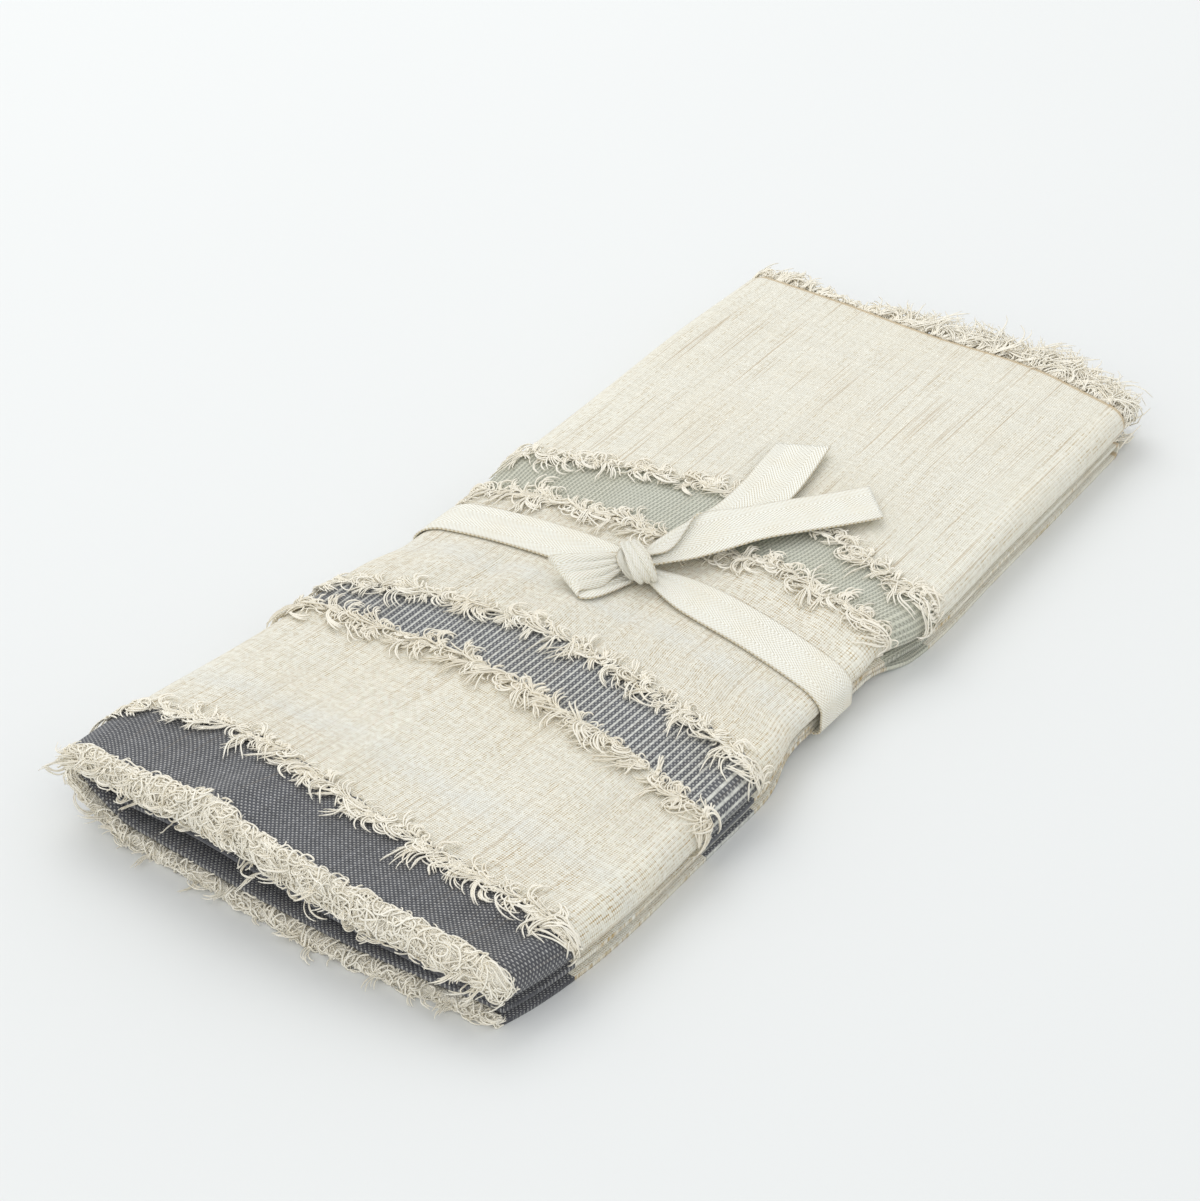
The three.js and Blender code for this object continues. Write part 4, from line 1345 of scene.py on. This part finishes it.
# The tie, in millimetres: the two edges of the tape at each place along it
LOOP = (
    ((-4.8, -7, 28.5), (-0.6, -11.8, 27)),
    ((-6.5, -10.3, 30), (-1.4, -16.2, 26.2)),
    ((-11.1, -16.1, 30.8), (-2.2, -20.6, 25.2)),
    ((-17.3, -20.8, 30.6), (-5, -25.5, 24.8)),
    ((-21.3, -23, 29.8), (-6.3, -28.1, 24.8)),
    ((-22.6, -23, 27.6), (-5.4, -29.8, 23.6)),
    ((-19.2, -21.5, 25.6), (-2.6, -27.7, 23.3)),
    ((-11.7, -18, 24.6), (0, -22.4, 23.2)),
    ((-4.7, -8.3, 24.4), (3.5, -11.9, 23.4)),
)
WRAP = (
    ((-8, -1, 24.5), (-4.2, 4.2, 24.5)),
    ((-7.6, -3.4, 28.6), (-3.9, 1.8, 28.6)),
    ((-5.6, -7, 30.9), (-1.4, -1.8, 30.9)),
    ((-0.6, -11.6, 31.6), (4.4, -5.4, 31.6)),
    ((3.6, -14.9, 30.2), (8.6, -8.2, 30)),
    ((6.2, -15.6, 27.6), (10.6, -9, 27.3)),
    ((6, -13.6, 25), (10.2, -8.4, 24.8)),
    ((3, -10, 24), (7, -6, 24)),
)
SIDE_WRAP = (
    ((-6.4, -3.4, 25), (-4.4, -0.8, 26)),
    ((-6.6, -5.6, 28.4), (-4, -2.8, 29)),
    ((-5, -9.8, 29.6), (-1, -8, 30.4)),
    ((-2.2, -12.9, 28.8), (2, -11.6, 30)),
    ((0.8, -13.8, 27), (5, -13.4, 28)),
    ((3.2, -12.8, 25), (6.6, -12, 25.5)),
    ((3, -10, 24), (6, -9, 24)),
)
# The tape's two free ends: its middle, the way its width points, and its width, at each place along them
FRONT_TAIL = (
    ((1, -4, 26.4), (0.9, -0.4, 0.1), 8),
    ((4.5, 3, 28), (0.85, -0.5, -0.2), 12),
    ((8, 11, 28.8), (0.8, -0.6, -0.3), 16),
    ((12.5, 21, 28.6), (0.8, -0.6, -0.15), 19),
    ((19.5, 33, 28), (0.8, -0.6, 0), 19),
    ((28, 46, 27.4), (0.8, -0.6, 0), 19),
    ((37, 59, 26.7), (0.8, -0.6, 0), 19),
    ((44.5, 71, 26), (0.72, -0.69, 0), 19),
)
BACK_TAIL = (
    ((1, -3, 25.4), (1, -0.2, 0), 8),
    ((5, 8, 26), (0.97, -0.2, 0), 14),
    ((9, 22, 25.8), (0.99, -0.1, 0), 18.5),
    ((11.5, 38, 25.7), (1, 0.08, 0), 19),
    ((10.8, 55, 25.7), (1, 0.15, 0), 19),
    ((8.5, 70, 25.8), (0.97, 0.22, 0), 19),
    ((5.6, 86, 26), (0.86, 0.5, 0), 19),
)
# The fill inside the knot: its middle, the way the wraps go over it, and its half sizes
KNOT = np.array([0.5, -6.5, 26.5])
KNOT_WAY = np.array([0.77, -0.64, 0])
KNOT_HALF = (5.6, 3.4, 3.9)
# Where a side of the tape is turned over
ROLL_RADIUS = 0.9


def centred(stations):
    """Edge points from a middle, the way across and a width."""
    rows = []
    for middle, way, width in stations:
        reach = np.array(way) / np.linalg.norm(way) * width / 2
        rows.append((np.array(middle) - reach, np.array(middle) + reach))
    return rows


def strip(stations, rows, columns, pleats, depth=1.3, roll=0.0, droop=0.0, face=1):
    """A length of tape between two edges, gathered into pleats where it is narrower than it is flat.

    roll is the share of the width that is turned over on one side at the start. droop bends the other side
    down. face is 1 or -1, for the side of the tape that is seen.
    """
    place = np.arange(len(stations))
    at = np.linspace(0, len(stations) - 1, rows)
    left = curve(at, place, [a for a, _ in stations])
    right = curve(at, place, [b for _, b in stations])
    middle, across = (left + right) / 2, right - left
    width = np.linalg.norm(across, axis=1, keepdims=True)
    along = np.gradient(middle, axis=0)
    along /= np.linalg.norm(along, axis=1, keepdims=True)
    across /= width
    up = face * np.cross(across, along)
    up /= np.linalg.norm(up, axis=1, keepdims=True)
    share = at[:, None] / (len(stations) - 1)
    w = np.linspace(-1, 1, columns)[None, :]
    gather = np.clip(1 - width / TAPE_WIDTH, 0, 1)
    ridge = np.abs(np.cos(0.5 * pleats * math.pi * (w + 0.16 * np.sin(5 * share) + 0.1)))
    rise = gather * depth * (ridge**0.7 - 0.6)
    droops = np.clip((w - 0.2) / 0.8, 0, 1) ** 2 * np.sin(math.pi * np.clip(2.2 * share, 0, 1))
    rise = rise - droop * droops
    turned = -1 + 2 * roll * (1 - smooth(0.1, 0.5, share))
    past = (turned - w) * width / 2
    angle = np.clip(past / ROLL_RADIUS, 0, math.pi)
    over = np.where(past > 0, turned * width / 2 - ROLL_RADIUS * np.sin(angle), w * width / 2)
    over = over + np.maximum(past - math.pi * ROLL_RADIUS, 0)
    rise = rise + np.where(past > 0, ROLL_RADIUS * (1 - np.cos(angle)), 0)
    points = middle[:, None] + across[:, None] * over[..., None] + up[:, None] * rise[..., None]
    run = np.concatenate([[0], np.cumsum(np.linalg.norm(np.diff(middle, axis=0), axis=1))])
    uv = np.stack(np.broadcast_arrays(w * TAPE_WIDTH / 2, run[:, None]), axis=-1)
    return (points - MIDDLE) * MM, uv * MM


def band_strip():
    """The tape's way round the waist, outside everything: top, right side, floor and left fold."""
    def skin(from_s, to_s):
        x, z, out_x, out_z = on_section(np.linspace(from_s, to_s, 200))
        return np.stack([x + out_x * SKIN, z + out_z * SKIN, out_x, out_z])

    over = skin(TOP_S, RIGHT_FOLD_S + RIGHT_RADIUS * math.pi / 2)
    corner = turn(RIGHT - TAPE_CORNER, TAPE_CORNER, TAPE_CORNER, 0, -90)
    floor = straight(RIGHT - TAPE_CORNER, LEFT_TURN_X, 0, -1)
    path = np.concatenate([floor, skin(LEFT_FOLD_S, TOP_S)[:, 1:], over[:, 1:], corner], axis=1)
    run = np.concatenate([[0], np.cumsum(np.hypot(*np.diff(path[:2], axis=1)))])
    even = np.linspace(0, run[-1], 240)
    x, z, out_x, out_z = (np.interp(even, run, row) for row in path)
    on_top = smooth(0.5, 0.95, out_z)
    near = np.where(x < 0, np.exp(-((x / 8) ** 2)), np.exp(-((x / 17) ** 2))) * on_top
    w = np.linspace(-1, 1, 25)[None, :]
    half = (TAPE_WIDTH / 2 * (1 - 0.7 * near))[:, None]
    fold = (near[:, None] * 1.3) * (np.abs(np.cos(1.5 * math.pi * (w + 0.12))) ** 0.7 - 0.6)
    q = (TAPE_GAP + TAPE_THICKNESS / 2 + 2.2 * near)[:, None] + fold
    x, z, out_x, out_z = (row[:, None] for row in (x, z, out_x, out_z))
    points = settle(x + out_x * q, tape_y(x) + half * w, z + out_z * q)
    uv = np.stack(np.broadcast_arrays(w * TAPE_WIDTH / 2, even[:, None]), axis=-1)
    return points, uv * MM


def knot_wrap(centre, way, half, pleats, from_degrees=-38, to_degrees=218):
    """A turn of the tape over the knot, drawn into pleats that run the way it goes."""
    a = np.radians(np.linspace(from_degrees, to_degrees, 48))[:, None]
    w = np.linspace(-1, 1, 41)[None, :]
    side = np.cross([0, 0, 1], way)
    barrel = 1 - 0.3 * np.abs(w) ** 2.6
    pleat = 1 + 0.09 * (np.abs(np.cos(0.5 * pleats * math.pi * (w + 0.22 * np.cos(a)))) ** 0.7 - 0.6)
    spread = half[1] * (1 + 0.12 * np.abs(np.cos(a)))
    points = (
        np.array(centre)
        - way * (np.cos(a) * half[0] * barrel * pleat)[..., None]
        + side * (w * spread)[..., None]
        + np.array([0, 0, 1]) * (np.sin(a) * half[2] * barrel * pleat)[..., None]
    )
    uv = np.stack(np.broadcast_arrays(w * TAPE_WIDTH / 2, np.degrees(a) * 0.1), axis=-1)
    return (points - MIDDLE) * MM, uv * MM


class TOWEL_OT_tape(bpy.types.Operator):
    """Makes the tape round the waist and its half bow"""

    bl_idname = "towel.tape"
    bl_label = "Tape"

    def execute(self, context):
        settings = context.scene.towel_tape
        bm = bmesh.new()
        layer = bm.loops.layers.uv.new("tape")
        for points, uv in (
            band_strip(),
            strip(LOOP, 80, 41, 4, depth=1.8, droop=1.4, face=-1),
            strip(centred(FRONT_TAIL), 70, 41, 3, depth=1.2, roll=0.5),
            strip(centred(BACK_TAIL), 64, 33, 4),
            strip(WRAP, 60, 49, 3, depth=2.0, face=-1),
            strip(SIDE_WRAP, 50, 33, 2, depth=1.2, face=-1),
            knot_wrap(KNOT, KNOT_WAY, KNOT_HALF, 3),
        ):
            add_grid(bm, points, uv, layer)
        mesh = bpy.data.meshes.new("tie_tape")
        bm.to_mesh(mesh)
        bm.free()
        piece = finish_piece("tie_tape", mesh, tape_material(settings, shared_groups()), "tape", "ribbon")
        solid = piece.modifiers.new("Thickness", "SOLIDIFY")
        solid.thickness, solid.offset = settings.thickness, 0
        return {"FINISHED"}


class TOWEL_OT_facts(bpy.types.Operator):
    """An empty step, which does nothing"""

    bl_idname = "towel.facts"
    bl_label = "Sheet facts"

    def execute(self, context):
        return {"FINISHED"}


class TOWEL_PT_panel(bpy.types.Panel):
    """Lists the towel's pieces and their settings"""

    bl_idname = "TOWEL_PT_panel"
    bl_label = "Towel"
    bl_space_type = "VIEW_3D"
    bl_region_type = "UI"
    bl_category = "Towel"

    def draw(self, context):
        for operator in OPERATORS:
            self.layout.operator(operator.bl_idname)
        for name in SETTINGS:
            settings = getattr(context.scene, name)
            box = self.layout.box()
            for prop in settings.bl_rna.properties:
                if prop.identifier not in {"rna_type", "name"}:
                    box.prop(settings, prop.identifier)


OPERATORS = (TOWEL_OT_stage, TOWEL_OT_cloth, TOWEL_OT_lines, TOWEL_OT_fringes, TOWEL_OT_tape, TOWEL_OT_facts)
SETTINGS = {
    "towel_cloth": TOWEL_PG_cloth,
    "towel_yarn": TOWEL_PG_yarn,
    "towel_tape": TOWEL_PG_tape,
    "towel_stage": TOWEL_PG_stage,
}


def register():
    for item in (*SETTINGS.values(), *OPERATORS, TOWEL_PT_panel):
        bpy.utils.register_class(item)
    for name, kind in SETTINGS.items():
        setattr(bpy.types.Scene, name, PointerProperty(type=kind))


def unregister():
    for name in SETTINGS:
        delattr(bpy.types.Scene, name)
    for item in reversed((*SETTINGS.values(), *OPERATORS, TOWEL_PT_panel)):
        bpy.utils.unregister_class(item)


def main():
    register()
    for operator in OPERATORS:
        group, name = operator.bl_idname.split(".")
        getattr(getattr(bpy.ops, group), name)()


if __name__ == "__main__":
    main()
